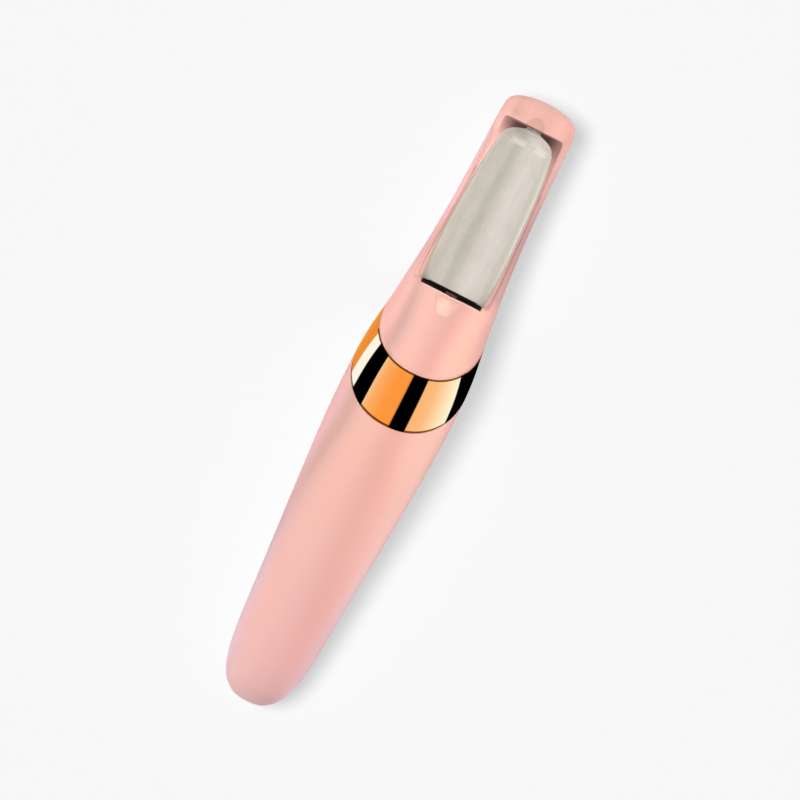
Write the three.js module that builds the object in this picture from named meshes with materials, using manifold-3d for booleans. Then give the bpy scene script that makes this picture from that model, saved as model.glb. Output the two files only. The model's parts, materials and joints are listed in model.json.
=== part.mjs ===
// Electric callus remover: a wand-shaped, battery-powered foot file.
// Millimetres. +X across, +Y along the wand towards the roller tip, +Z up.
// It lies on its flattened back, on z = 0, with the abrasive roller facing up.
// "Front" is the upper (+Z) side and "rear" the lower one. Ranges are [from, to].
import * as THREE from "three";
import { mergeVertices } from "three/addons/utils/BufferGeometryUtils.js";
import Module from "manifold-3d";

const wasm = await Module();
wasm.setup();
const { degToRad, lerp, smoothstep, clamp } = THREE.MathUtils;

// ---------------------------------------------------------------- driving dimensions
const AXIS_Z = 14.0; // height of the line the motor, gearbox, spindle and roller share
const ON_AXIS = [0, AXIS_Z]; // [x, z] of that line
const WALL = 1.8; // handle wall
const BAND_WALL = 1.0;
const FIT = 0.15; // assembly gap between neighbours
const HALF_FIT = FIT / 2;
const CLOSE_FIT = 0.06; // radial gap round shafts and pins
const NECK_INSET = BAND_WALL + FIT; // from the outer surface down to the necks under the band
const NECK_WALL = 1.6;
const NECK_ROOT = 3.2; // how far the handle's neck reaches back into the handle
const SHELL_SIDES = 28;

// Slanted joint planes, each through (y, z): at other heights the plane lies at y - slope * dz.
const BAND_TIP_EDGE = { slope: 1.0, y: 9.1, z: 30.2 };
const BAND_TAIL_EDGE = { slope: 0.92, y: -6.86, z: 30.4 };
const NECK_JOINT = { slope: 0.96, y: 1.1, z: 30.3 }; // the two necks meet under the band
// Joint between front and rear shell, nearly level, following the widest part of the handle.
const PARTING = { slope: 0.0535, y: 2, z: 15.0, gap: 0.05 };

const RECESS = { start: 33.3, end: 85.8 }; // roller recess along Y
const BULKHEAD_Y = 30.6; // gearbox side of the wall between gearbox and recess
const SPINDLE_RADIUS = 1.8;
const SHAFT_RADIUS = 1.0;
const IDLER_RADIUS = 1.0;
const SHAFT_BORE = SHAFT_RADIUS + CLOSE_FIT;
const MOTOR_RADIUS = 10.2; // also the gearbox housing's and mount plate's
const BATTERY = { radius: 7.0, z: 12.2, start: -77, end: -27 };
const BUTTON = { y: -30, radiusX: 3.6, radiusY: 5.6, z: [0.25, 1.35] };
const BOARD = { halfWidth: 5.2, y: [-76.8, -20.2], z: [3.25, 4.25], screwY: [-22.6, -75.4] };
const LIGHT_PIPE = { y: -40.5, radius: 1.0 };

// ---------------------------------------------------------------- outline tables
// Half width of the handle: [y, half width]
const HANDLE_WIDTH = [
  [-93.8, 0.9], [-93.5, 3.0], [-93.1, 4.15], [-92.5, 5.2], [-91.7, 6.4], [-90.4, 7.8],
  [-89.0, 8.8], [-87.5, 9.55], [-84.7, 10.5], [-81.9, 11.13], [-79.1, 11.59], [-73.5, 12.27],
  [-67.9, 12.7], [-62.3, 13.08], [-56.7, 13.43], [-51.1, 13.8], [-45.5, 14.25], [-39.9, 14.66],
  [-34.3, 15.07], [-28.7, 15.45], [-23.1, 15.82], [-17.5, 16.2], [-11.9, 16.52], [-6.3, 16.75],
  [-0.7, 16.86], [4.9, 16.88], [10.5, 16.78], [13.3, 16.6], [16.1, 16.35], [18.9, 16.04],
  [21.7, 15.68], [24.5, 15.3], [27.3, 14.95], [30.1, 14.62], [35.7, 13.98], [40, 13.5],
  [46, 13.05],
];
// Half width of the head: [y, half width]
const HEAD_WIDTH = [
  [0, 16.6], [5, 16.5], [10.5, 16.35], [16.1, 15.9], [21.7, 15.3], [24.5, 14.98], [27.3, 14.7],
  [30.1, 14.4], [32.9, 14.1], [35.7, 13.75], [38.5, 13.4], [41.3, 13.1], [44.1, 12.86],
  [49.7, 12.42], [55.3, 12.05], [60.9, 11.74], [66.5, 11.55], [72.1, 11.41], [77.7, 11.28],
  [83.3, 11.12], [87.8, 10.98], [88.9, 10.88], [90.0, 10.62], [91.1, 10.0], [91.7, 9.4],
  [92.3, 8.4], [92.9, 6.85], [93.4, 4.9], [93.8, 1.6],
];
// Upper and lower profiles and the mid height between them: [y, z]
const HANDLE_TOP = [
  [0, 30.4], [5, 30.42], [9.1, 30.2], [16, 29.2], [22, 27.6], [28, 25.5], [33, 23.7],
  [38, 22.1], [46, 20.5],
];
const HANDLE_BACK = [[20, -0.5], [30, -0.3], [40, 0.1], [46, 0.4]];
const HEAD_TOP = [
  [0, 30.1], [5, 30.1], [9.1, 29.9], [16, 28.9], [22, 27.25], [28, 25.15], [33, 23.35],
  [38, 21.75], [44, 20.45], [50, 19.6], [60, 19.0], [70, 18.75], [80, 18.55], [86, 18.4],
  [90, 18.2], [91.5, 17.95], [92.5, 17.4], [93.2, 16.5], [93.6, 15.3], [93.8, 14.2],
];
const HEAD_BACK = [
  [0, -0.2], [20, -0.2], [30, 0.0], [40, 0.45], [50, 0.85], [60, 1.35], [70, 2.05], [80, 3.0],
  [86, 3.9], [90, 5.0], [92, 6.6], [93, 8.2], [93.5, 9.8], [93.8, 11.8],
];
const HEAD_MID = [[0, 15.2], [30, 14.8], [45, 14.0], [60, 13.5], [80, 13.2], [94, 13.0]];
// Half width of the roller recess: [y, half width]
const RECESS_WIDTH = [
  [33.3, 11.4], [35.7, 11.45], [41.3, 11.1], [44, 10.95], [50, 10.88], [55, 10.6],
  [60.9, 10.3], [66.5, 10.05], [72, 9.72], [77.7, 9.4], [83.3, 9.15], [85.8, 9.0],
];

// Linear interpolation in a table, held constant past its ends.
function lookUp(table, y) {
  if (y <= table[0][0]) return table[0][1];
  for (let i = 1; i < table.length; i++) {
    const [yBefore, before] = table[i - 1];
    const [yAfter, after] = table[i];
    if (y <= yAfter) return before + ((after - before) * (y - yBefore)) / (yAfter - yBefore);
  }
  return table[table.length - 1][1];
}

// ---------------------------------------------------------------- cross-sections
// A section is a superellipse: half width, mid height, reach up and down from it, exponent.
const HANDLE_POWER = 2.15;
const TOP_RATIO = 0.9; // height above mid over half width, in the tail part
const BACK_RATIO = 0.93; // depth below mid over half width
const BACK_SINK = 0.5; // how far the section dips under z = 0 before it is flattened
const MID_HEIGHT = 15.2;
const TAIL_Y = -73.5; // the mid height is constant from here to the tail end
const WIDEST = Math.max(...HANDLE_WIDTH.map(([, halfWidth]) => halfWidth));

function handleSection(y) {
  const halfWidth = lookUp(HANDLE_WIDTH, y);
  const power = HANDLE_POWER;
  if (y <= 0) {
    const midWidth = lookUp(HANDLE_WIDTH, Math.max(y, TAIL_Y));
    const mid = Math.min(BACK_RATIO * midWidth - BACK_SINK, MID_HEIGHT);
    return { halfWidth, mid, up: TOP_RATIO * halfWidth, down: BACK_RATIO * halfWidth, power };
  }
  const mid = y < 20 ? BACK_RATIO * WIDEST - BACK_SINK : MID_HEIGHT - (y - 20) * 0.02;
  const up = lookUp(HANDLE_TOP, y) - mid;
  return { halfWidth, mid, up, down: mid - lookUp(HANDLE_BACK, y), power };
}

// The head grows squarer towards the roller.
function headSection(y) {
  const mid = lookUp(HEAD_MID, y);
  return {
    halfWidth: lookUp(HEAD_WIDTH, y),
    mid,
    up: lookUp(HEAD_TOP, y) - mid,
    down: mid - lookUp(HEAD_BACK, y),
    power: lerp(HANDLE_POWER, 3.0, smoothstep(y, 12, 45)),
  };
}

// ---------------------------------------------------------------- solids
// Turns a closed three.js geometry into a manifold solid, keeping only positions.
function solid(geometry) {
  geometry.deleteAttribute("normal");
  geometry.deleteAttribute("uv");
  const merged = mergeVertices(geometry, 1e-4);
  const mesh = new wasm.Mesh({
    numProp: 3,
    vertProperties: merged.attributes.position.array,
    triVerts: new Uint32Array(merged.index.array),
  });
  return new wasm.Manifold(mesh);
}

function geometryOf(made) {
  const mesh = made.getMesh();
  const geometry = new THREE.BufferGeometry();
  const positions = new Float32Array(mesh.vertProperties);
  geometry.setAttribute("position", new THREE.BufferAttribute(positions, 3));
  geometry.setIndex(new THREE.BufferAttribute(new Uint32Array(mesh.triVerts), 1));
  geometry.computeVertexNormals();
  return geometry;
}

function add(parent, name, made, material) {
  const mesh = new THREE.Mesh(geometryOf(made), material);
  mesh.name = name;
  parent.add(mesh);
}

const union = (...parts) => parts.reduce((whole, part) => whole.add(part));
const cut = (body, ...tools) => tools.reduce((rest, tool) => rest.subtract(tool), body);
const span = (half, centre = 0) => [centre - half, centre + half];

// A cylinder whose rings are moved onto the outline { x, z, mid } given for (y, angle).
function loft(stations, sides, outline) {
  const steps = stations.length - 1;
  const geometry = new THREE.CylinderGeometry(1, 1, 1, sides, steps, false);
  const position = geometry.attributes.position;
  for (let i = 0; i < position.count; i++) {
    const unitX = position.getX(i);
    const unitZ = position.getZ(i);
    const y = stations[Math.round((position.getY(i) + 0.5) * steps)];
    const reach = Math.hypot(unitX, unitZ);
    const { x, z, mid } = outline(y, Math.atan2(unitZ, unitX));
    position.setXYZ(i, reach * x, y, mid + reach * (z - mid));
  }
  return solid(geometry);
}

// Loft through sections moved inwards by an inset and flattened below by the resting plane.
function shell(stations, sides, section, inset = 0) {
  return loft(stations, sides, (y, angle) => {
    const { halfWidth, mid, up, down, power } = section(y);
    const cos = Math.cos(angle);
    const sin = Math.sin(angle);
    const width = Math.max(halfWidth - inset, 0.25);
    const height = Math.max((sin > 0 ? up : down) - inset, 0.25);
    const x = width * Math.sign(cos) * Math.abs(cos) ** (2 / power);
    const z = mid + height * Math.sign(sin) * Math.abs(sin) ** (2 / power);
    return { x, z: Math.max(z, inset), mid };
  });
}

// Everything on one side of a slanted plane that is first moved by `shift` towards that side.
const TIPWARD = 1;
const TAILWARD = -1;
function beyond(plane, side, shift) {
  const size = 160;
  const angle = Math.atan(plane.slope);
  const move = side * shift;
  const geometry = new THREE.BoxGeometry(size, size, size)
    .translate(0, (side * size) / 2, 0)
    .rotateX(angle)
    .translate(0, plane.y + move * Math.cos(angle), plane.z + move * Math.sin(angle));
  return solid(geometry);
}

// Everything above (side = 1) or below (side = -1) the parting joint.
function partingHalf(side) {
  const height = 80;
  const geometry = new THREE.BoxGeometry(80, 260, height)
    .translate(0, 0, (side * height) / 2)
    .rotateX(Math.atan(PARTING.slope))
    .translate(0, PARTING.y, PARTING.z + side * PARTING.gap);
  return solid(geometry);
}

function box(...ranges) {
  const sizes = ranges.map(([from, to]) => to - from);
  const centre = ranges.map(([from, to]) => (from + to) / 2);
  return solid(new THREE.BoxGeometry(...sizes).translate(...centre));
}

// Part turned about a line along Y through [x, z]. The profile is [radius, y].
function turned(profile, sides = 28, [x, z] = ON_AXIS) {
  const points = profile.map(([radius, y]) => new THREE.Vector2(radius, y));
  return solid(new THREE.LatheGeometry(points, sides).translate(x, 0, z));
}

// Rod along Y.
function rod(radius, [from, to], sides = 24, [x, z] = ON_AXIS) {
  const geometry = new THREE.CylinderGeometry(radius, radius, to - from, sides);
  return solid(geometry.translate(x, (from + to) / 2, z));
}

const tube = (outer, inner, [from, to], sides) =>
  turned([[inner, from], [outer, from], [outer, to], [inner, to], [inner, from]], sides);

// Rod along Z on the wand's centre line.
function post(radius, y, [from, to], sides = 16) {
  const geometry = new THREE.CylinderGeometry(radius, radius, to - from, sides);
  return solid(geometry.rotateX(Math.PI / 2).translate(0, y, (from + to) / 2));
}

const shapeOf = (points) => new THREE.Shape(points.map(([x, y]) => new THREE.Vector2(x, y)));

function ellipse(radiusX, radiusY, sides, centreY = 0) {
  return Array.from({ length: sides }, (_, i) => {
    const angle = (i / sides) * 2 * Math.PI;
    return [radiusX * Math.cos(angle), centreY + radiusY * Math.sin(angle)];
  });
}
const circle = (radius, sides) => ellipse(radius, radius, sides);

// An (x, y) outline raised along Z.
function plan(points, [from, to]) {
  const options = { depth: to - from, bevelEnabled: false };
  return solid(new THREE.ExtrudeGeometry(shapeOf(points), options).translate(0, 0, from));
}

// An outline extruded along +Y about [x, z]. Its second axis ends up along -Z.
function prism(outline, [from, to], hole, [x, z] = ON_AXIS) {
  const shape = shapeOf(outline);
  if (hole) shape.holes.push(shapeOf(hole));
  const geometry = new THREE.ExtrudeGeometry(shape, { depth: to - from, bevelEnabled: false });
  return solid(geometry.rotateX(-Math.PI / 2).translate(x, from, z));
}

// A round wire, faceted to `sides`, along a curve.
function sweep(extrudePath, radius, sides, steps) {
  const options = { steps, bevelEnabled: false, extrudePath };
  return solid(new THREE.ExtrudeGeometry(shapeOf(circle(radius, sides)), options));
}

// ---------------------------------------------------------------- materials
const finish = (settings) => new THREE.MeshStandardMaterial(settings);
const paint = finish({ color: 0xf3b3a8, roughness: 0.38, metalness: 0.15 });
const gold = finish({ color: 0xf0a050, roughness: 0.08, metalness: 1 });
const abrasive = finish({ color: 0xd0c8b8, roughness: 0.85 });
const blackRubber = finish({ color: 0x0c0b0a, roughness: 0.7 });
const steel = finish({ color: 0xa8a6a2, roughness: 0.3, metalness: 1 });
const clear = finish({ color: 0xffe0d2, roughness: 0.25 });
const nylon = finish({ color: 0xe9e6dc, roughness: 0.5 });
const darkPlastic = finish({ color: 0x2b2c30, roughness: 0.55 });
const bronze = finish({ color: 0xb08040, roughness: 0.4, metalness: 1 });
const boardGreen = finish({ color: 0x1f6b3a, roughness: 0.5 });
const cellBlue = finish({ color: 0x3a78b8, roughness: 0.4 });
const copper = finish({ color: 0xc0683a, roughness: 0.35, metalness: 1 });
const redWire = finish({ color: 0xb8201c, roughness: 0.5 });
const blackWire = finish({ color: 0x17171a, roughness: 0.5 });
const magnet = finish({ color: 0x3b3b3d, roughness: 0.7, metalness: 0.3 });

const wand = new THREE.Group();

// ---------------------------------------------------------------- handle shells
// Lists of stations are y values.
const handleOuter = shell(
  [-93.8, -93.1, -91.7, -89, -84.7, -79.1, -68, -51, -34, -17, -2, 6, 14, 22, 34, 46],
  SHELL_SIDES,
  handleSection,
);
const handleCavity = shell(
  [-91.9, -90.4, -87.6, -82, -68, -34, -2, 8, 20, 33], 20, handleSection, WALL,
);
const neckOuter = shell([-16, -2, 7, 15, 24, 35, 46], 24, handleSection, NECK_INSET);
const neckCavity = shell(
  [-24, -2, 7, 15, 24, 35, 47], 20, handleSection, NECK_INSET + NECK_WALL,
);
const handleBody = union(
  cut(handleOuter, beyond(BAND_TAIL_EDGE, TIPWARD, -HALF_FIT), handleCavity),
  cut(
    neckOuter.intersect(beyond(BAND_TAIL_EDGE, TIPWARD, -NECK_ROOT)),
    beyond(NECK_JOINT, TIPWARD, -HALF_FIT),
    neckCavity,
  ),
);

// The rear shell carries screw bosses and cross ribs just under the main board.
const SUPPORT_Z = [1.2, BOARD.z[0] - 0.1];
const RIB_Y = [-26.2, -72];
const bosses = BOARD.screwY.map((y) => cut(post(2.2, y, SUPPORT_Z), post(0.8, y, [1.5, 4])));
const ribs = RIB_Y.map((y) => box(span(5.5), span(0.5, y), SUPPORT_Z));

const plugHole = box(span(4.75), [-96, -86], [8.35, 12.05]);
const buttonRim = ellipse(BUTTON.radiusX + FIT, BUTTON.radiusY + FIT, 28, BUTTON.y);
const buttonHole = plan(buttonRim, [-2, 3]);
const lightHole = post(LIGHT_PIPE.radius + HALF_FIT, LIGHT_PIPE.y, [-2, 4], 14);

const front = handleBody.intersect(partingHalf(1));
add(wand, "handle_front_shell", cut(front, plugHole), paint);
const rear = union(handleBody.intersect(partingHalf(-1)), ...bosses, ...ribs);
add(wand, "handle_rear_shell", cut(rear, plugHole, buttonHole, lightHole), paint);

// ---------------------------------------------------------------- gold band
const band = cut(
  shell([-14, -2, 6, 14, 22, 34, 46], SHELL_SIDES, handleSection),
  shell([-16, -2, 6, 14, 22, 34, 47], SHELL_SIDES, handleSection, BAND_WALL),
  beyond(BAND_TAIL_EDGE, TAILWARD, -HALF_FIT),
  beyond(BAND_TIP_EDGE, TIPWARD, -HALF_FIT),
);
add(wand, "gold_band", band, gold);

// ---------------------------------------------------------------- head shell
const headOuter = shell(
  [2, 9, 16, 24, 33, 40, 52, 66, 80, 88.6, 91.1, 92.5, 93.4, 93.8], SHELL_SIDES, headSection,
);

// Quarter-round narrowing by `depth` at an end, fading out over `length`.
function endRound(depth, distance, length) {
  const rest = 1 - clamp(distance / length, 0, 1);
  return depth * (1 - Math.sqrt(1 - rest ** 2));
}

// U-shaped channel: half round about the drive axis below, straight-sided above.
function recessOutline(y, angle) {
  const halfWidth =
    lookUp(RECESS_WIDTH, y) -
    endRound(1.9, y - RECESS.start, 2.4) -
    endRound(0.8, RECESS.end - y, 0.9);
  const cos = Math.cos(angle);
  const sin = Math.sin(angle);
  if (sin <= 0) return { x: halfWidth * cos, z: AXIS_Z + halfWidth * sin, mid: AXIS_Z };
  const toSquare = 1 / Math.max(Math.abs(cos), Math.abs(sin));
  const height = 26;
  return { x: halfWidth * cos * toSquare, z: AXIS_Z + height * sin * toSquare, mid: AXIS_Z };
}
const recess = loft(
  [RECESS.start, 33.9, 35.7, 41.3, 55, 66.5, 84.9, RECESS.end], 24, recessOutline,
);

// Lens outline in plan, +X half, from the tip side to the rounded tail side: [x, y]
const LENS_TIP_Y = 32.6;
const LENS_HALF = [
  [3.4, LENS_TIP_Y], [3.05, 31.2], [2.6, 29.8], [2.05, 28.4], [1.25, 27.5],
];
function lensOutline(grow) {
  const mirrored = LENS_HALF.map(([x, y]) => [-x, y]).reverse();
  const points = [...LENS_HALF, [0, 27.15], ...mirrored];
  return points.map(([x, y]) => [x * (1 + grow / 3), y - grow * (LENS_TIP_Y - y) * 0.2]);
}

// Three screws hold the gearbox to the bulkhead.
const BULKHEAD_SCREW = { circle: 6.2, shank: 0.85, head: 1.6 };
const screwSpots = [120, 240, 360].map(degToRad).map((angle) => [
  BULKHEAD_SCREW.circle * Math.cos(angle),
  AXIS_Z + BULKHEAD_SCREW.circle * Math.sin(angle),
]);
const screwHeadHoles = screwSpots.map((spot) =>
  rod(BULKHEAD_SCREW.head + FIT, [31.7, 33.2], 12, spot),
);
const screwShankHoles = screwSpots.map((spot) => rod(1.05, [29.5, 33.2], 12, spot));

const gearboxSpace = neckCavity.intersect(box(span(40), [-40, BULKHEAD_Y], [-10, 60]));
const sealSeat = rod(9.35, [32.55, 34.2], 32);
const spindleHole = rod(2.4, [29, 34], 20);
const lensSeat = plan(lensOutline(0.12), [22.62, 30]);
const ledWell = box(span(1.6), [27.4, 30.4], [19, 23]);
const idlerBore = rod(IDLER_RADIUS + CLOSE_FIT, [84, 90.7], 16);
const tipScoop = solid(
  new THREE.SphereGeometry(1, 12, 6).scale(2.6, 3.5, 1.6).translate(0, 85.75, 18.75),
);
const headShell = cut(
  union(
    headOuter.intersect(beyond(BAND_TIP_EDGE, TIPWARD, HALF_FIT)),
    neckOuter.intersect(beyond(NECK_JOINT, TIPWARD, HALF_FIT)),
  ),
  gearboxSpace,
  recess,
  sealSeat,
  spindleHole,
  ...screwHeadHoles,
  ...screwShankHoles,
  lensSeat,
  ledWell,
  idlerBore,
  tipScoop,
);
add(wand, "head_shell", headShell, paint);

// ---------------------------------------------------------------- work light
// The lens bulges slightly above the head's surface.
const LENS_BULGE = { height: 0.35, y: 30.4, halfLength: 3.6 };
function lensSection(y) {
  const section = headSection(y);
  const { height, y: centre, halfLength } = LENS_BULGE;
  const bulge = height * Math.max(0, 1 - ((y - centre) / halfLength) ** 2);
  return { ...section, up: section.up + bulge };
}
const lensSurface = shell([20, 26, 28, 30, 32, 34], 40, lensSection);
const lens = plan(lensOutline(0), [22.75, 30]).intersect(lensSurface);
add(wand, "work_light_lens", lens, clear);
add(wand, "work_light_led", box(span(1.4), [27.6, 30.2], [21.8, 22.55]), clear);

// ---------------------------------------------------------------- roller
// Profiles are [radius, y].
const SLEEVE_BORE = 7.0;
const CORE_RADIUS = SLEEVE_BORE - FIT;
const SLEEVE_PROFILE = [
  [SLEEVE_BORE, 35.6], [7.75, 34.85], [9.6, 34.85], [10.02, 35.3], [10.33, 38.5], [10.4, 46],
  [10.17, 55.3], [9.93, 61], [9.69, 66.5], [9.4, 70.5], [8.94, 74.9], [8.02, 80.4],
  [SLEEVE_BORE, 80.4], [SLEEVE_BORE, 35.6],
];
const END_CAP_PROFILE = [
  [0, 34.15], [9.0, 34.15], [9.2, 34.35], [9.2, 34.68], [7.6, 34.68], [CORE_RADIUS, 35.4],
  [CORE_RADIUS, 37.6], [0, 37.6],
];
// A tube open at both ends, with a web closing it across the axis.
const CORE_PROFILE = [
  [3.1, 37.8], [CORE_RADIUS, 37.8], [CORE_RADIUS, 77.9], [5.2, 77.9], [5.2, 51.6], [0, 51.6],
  [0, 50.2], [3.1, 50.2], [3.1, 37.8],
];
// A dome with a hollow stub axle.
const AXLE_END_Y = 85.6;
const DOME_PROFILE = [
  [0, 78.1], [CORE_RADIUS, 78.1], [CORE_RADIUS, 80.55], [7.96, 80.55], [7.9, 80.9],
  [7.56, 81.9], [6.3, 83.3], [4.48, 84.28], [2.1, 85.05], [2.05, AXLE_END_Y],
  [1.15, AXLE_END_Y], [1.15, 84.2], [0, 84.2],
];
const roller = new THREE.Group();
wand.add(roller);
add(roller, "abrasive_sleeve", turned(SLEEVE_PROFILE, 30), abrasive);
const hexSocket = prism(circle(1.9, 6), [33.5, 38.5]);
add(roller, "roller_end_cap", cut(turned(END_CAP_PROFILE, 32), hexSocket), blackRubber);
add(roller, "roller_core", turned(CORE_PROFILE, 24), nylon);
add(roller, "roller_dome_cap", turned(DOME_PROFILE), abrasive);

// Spring that pushes the roller off the spindle onto the idler pin.
const SPRING = { radius: 2.1, wire: 0.32, start: 43.9, length: 5.6, turns: 4 };
class Helix extends THREE.Curve {
  getPoint(t, target = new THREE.Vector3()) {
    const angle = t * 2 * Math.PI * SPRING.turns;
    return target.set(
      SPRING.radius * Math.cos(angle),
      SPRING.start + t * SPRING.length,
      AXIS_Z + SPRING.radius * Math.sin(angle),
    );
  }
}
add(roller, "roller_spring", sweep(new Helix(), SPRING.wire, 4, 28), steel);

// ---------------------------------------------------------------- spindle, idler pin, seal
// Round shank, hexagonal drive and a round end trimmed to the end radius.
const spindleEnd = turned(
  [[0, 42.5], [1.6, 42.5], [2.55, 42.9], [2.55, 43.4], [0, 43.4]], 16,
).intersect(rod(1.55, [42, 43.4], 16));
const spindle = union(
  turned([[0, 22.6], [SPINDLE_RADIUS, 22.6], [SPINDLE_RADIUS, 33.48], [0, 33.48]], 20),
  prism(circle(1.74, 6), [33.4, 42.6]),
  spindleEnd,
);
add(wand, "drive_spindle", spindle, steel);
const IDLER_PROFILE = [
  [0, 85.15], [0.6, 85.2], [IDLER_RADIUS, 85.5], [IDLER_RADIUS, 90.6], [0, 90.6],
];
add(wand, "idler_pin", turned(IDLER_PROFILE, 14), steel);
add(wand, "spindle_dust_seal", tube(9.2, 1.9, [32.65, 33.45], 32), blackRubber);

// ---------------------------------------------------------------- gearbox housing
const HOUSING_PROFILE = [
  [0, 13.45], [MOTOR_RADIUS, 13.45], [MOTOR_RADIUS, 22.2], [9.1, 24.4], [8.8, 25.4],
  [6.3, 25.4], [6.3, 28.4], [7.75, 28.4], [7.75, 30.45], [0, 30.45],
];
const PILOT_RADIUS = 0.92; // screw holes in the housing and the motor can
const housing = cut(
  turned(HOUSING_PROFILE, 32),
  rod(9.3, [13, 21.6], 32), // ring gear
  rod(8.2, [21, 24.2], 28), // carrier disc
  rod(3.2, [24, 27], 20), // carrier hub
  rod(4.6, [26.2, 31], 24), // spindle bush
  ...screwSpots.map((spot) => rod(PILOT_RADIUS, [28.7, 31], 10, spot)),
);
add(wand, "gearbox_housing", housing, darkPlastic);

// ---------------------------------------------------------------- gears
const GEAR = { module: 0.45, sunTeeth: 12, planetTeeth: 12, ringTeeth: 36, pressureAngle: 20 };
const BACKLASH = 0.055; // taken off each flank
const TIP_RELIEF = 0.12; // extra narrowing per millimetre beyond an outer gear's pitch circle
const PLANET_ORBIT = (GEAR.module * (GEAR.sunTeeth + GEAR.planetTeeth)) / 2;
const PLANET_PIN_RADIUS = 0.75;

// Straight-flanked teeth, the first centred on `phase`. Internal teeth point inwards.
function gearOutline(teeth, phase, internal = false) {
  const pitchRadius = (GEAR.module * teeth) / 2;
  const pitchAngle = (2 * Math.PI) / teeth;
  const outward = internal ? -1 : 1;
  const tip = pitchRadius + outward * (internal ? 0.9 : 0.92) * GEAR.module;
  const root = pitchRadius - outward * (internal ? 1.15 : 1.2) * GEAR.module;
  const flankSlope = Math.tan(degToRad(GEAR.pressureAngle));
  const halfTooth = (radius) => {
    const grow = outward * (pitchRadius - radius) * flankSlope;
    const relief = internal ? 0 : Math.max(radius - pitchRadius, 0) * TIP_RELIEF;
    return pitchAngle / 4 + (grow - relief - BACKLASH) / pitchRadius;
  };
  const corners = [
    [root, -halfTooth(root)], [tip, -halfTooth(tip)],
    [tip, halfTooth(tip)], [root, halfTooth(root)],
  ];
  return Array.from({ length: teeth }, (_, i) =>
    corners.map(([radius, offset]) => {
      const angle = phase + i * pitchAngle + offset;
      return [radius * Math.cos(angle), radius * Math.sin(angle)];
    }),
  ).flat();
}

const ringTeeth = gearOutline(GEAR.ringTeeth, Math.PI / 2, true);
add(wand, "ring_gear", prism(circle(9.15, 36), [15.2, 21.4], ringTeeth), nylon);
const sunTeeth = gearOutline(GEAR.sunTeeth, Math.PI / 2);
add(wand, "sun_gear", prism(sunTeeth, [15.7, 21.2], circle(1.07, 12)), bronze);

// Gear outlines are turned over onto the Y axis, so a positive angle leads to lower z.
const planets = [90, 210, 330].map(degToRad).map((angle) => ({
  angle,
  spot: [PLANET_ORBIT * Math.cos(angle), AXIS_Z - PLANET_ORBIT * Math.sin(angle)],
}));
planets.forEach(({ angle, spot }, i) => {
  const teeth = gearOutline(GEAR.planetTeeth, angle + Math.PI / GEAR.planetTeeth);
  const gear = prism(teeth, [15.9, 21.2], circle(0.83, 10), spot);
  add(wand, `planet_gear_${i + 1}`, gear, nylon);
  add(wand, `planet_pin_${i + 1}`, rod(PLANET_PIN_RADIUS, [15.5, 23.6], 10, spot), steel);
});
const CARRIER_PROFILE = [[0, 21.75], [7.7, 21.75], [7.7, 23.7], [3.0, 23.7], [3.0, 25.9], [0, 25.9]];
const carrier = cut(
  turned(CARRIER_PROFILE),
  rod(SPINDLE_RADIUS + CLOSE_FIT, [21, 27], 18),
  ...planets.map(({ spot }) => rod(PLANET_PIN_RADIUS + CLOSE_FIT, [21, 25], 10, spot)),
);
add(wand, "planet_carrier", carrier, darkPlastic);
add(wand, "spindle_bush", tube(4.5, 1.88, [26.35, 30.1], 24), bronze);

// ---------------------------------------------------------------- gearbox and motor screws
const { shank: SHANK, head: HEAD } = BULKHEAD_SCREW;
const BULKHEAD_SCREW_PROFILE = [
  [0, 28.8], [SHANK, 28.8], [SHANK, 31.75], [HEAD, 31.75], [HEAD, 32.45], [0.5, 32.45],
  [0.5, 32.15], [0, 32.15],
];
screwSpots.forEach((spot, i) =>
  add(wand, `gearbox_screw_${i + 1}`, turned(BULKHEAD_SCREW_PROFILE, 10, spot), steel),
);
const MOTOR_SCREW_PROFILE = [
  [0, 10.3], [SHANK, 10.3], [SHANK, 13.4], [1.5, 13.4], [1.5, 14.1], [0, 14.1],
];
const motorScrewSpots = [-5.6, 5.6].map((x) => [x, AXIS_Z]);
const mountPlate = cut(
  rod(MOTOR_RADIUS, [12.0, 13.3], 32),
  rod(3.3, [11, 14], 20),
  ...motorScrewSpots.map((spot) => rod(1.05, [11, 14], 10, spot)),
);
add(wand, "motor_mount_plate", mountPlate, darkPlastic);
motorScrewSpots.forEach((spot, i) =>
  add(wand, `motor_screw_${i + 1}`, turned(MOTOR_SCREW_PROFILE, 10, spot), steel),
);

// ---------------------------------------------------------------- motor
const CAN_WALL = 0.6;
const FLAT_HEIGHT = 7.7; // from the axis to the flats above and below
const TERMINAL_X = 5.7;
const slab = (halfHeight) => box(span(30), span(30), span(halfHeight, AXIS_Z));
const flats = slab(FLAT_HEIGHT);
const motorCan = cut(
  union(rod(MOTOR_RADIUS, [-15, 11.0], 32).intersect(flats), rod(3.0, [10.9, 12.4], 20)),
  rod(MOTOR_RADIUS - CAN_WALL, [-16, 10.2], 32).intersect(slab(FLAT_HEIGHT - CAN_WALL)),
  rod(1.2, [9, 13], 14),
  ...motorScrewSpots.map((spot) => rod(PILOT_RADIUS, [9, 12], 10, spot)),
);
add(wand, "motor_can", motorCan, steel);
const endBell = cut(
  union(
    rod(MOTOR_RADIUS, [-17.4, -15.15], 32).intersect(flats),
    rod(9.4, [-15.3, -13.2], 28).intersect(slab(6.95)),
  ),
  rod(7.9, [-15.4, -12], 24),
  rod(1.2, [-18, -12], 14),
  ...[-1, 1].map((side) =>
    box(span(0.7, side * TERMINAL_X), [-20, -12], span(1.4, AXIS_Z)),
  ),
);
add(wand, "motor_end_bell", endBell, darkPlastic);

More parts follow.
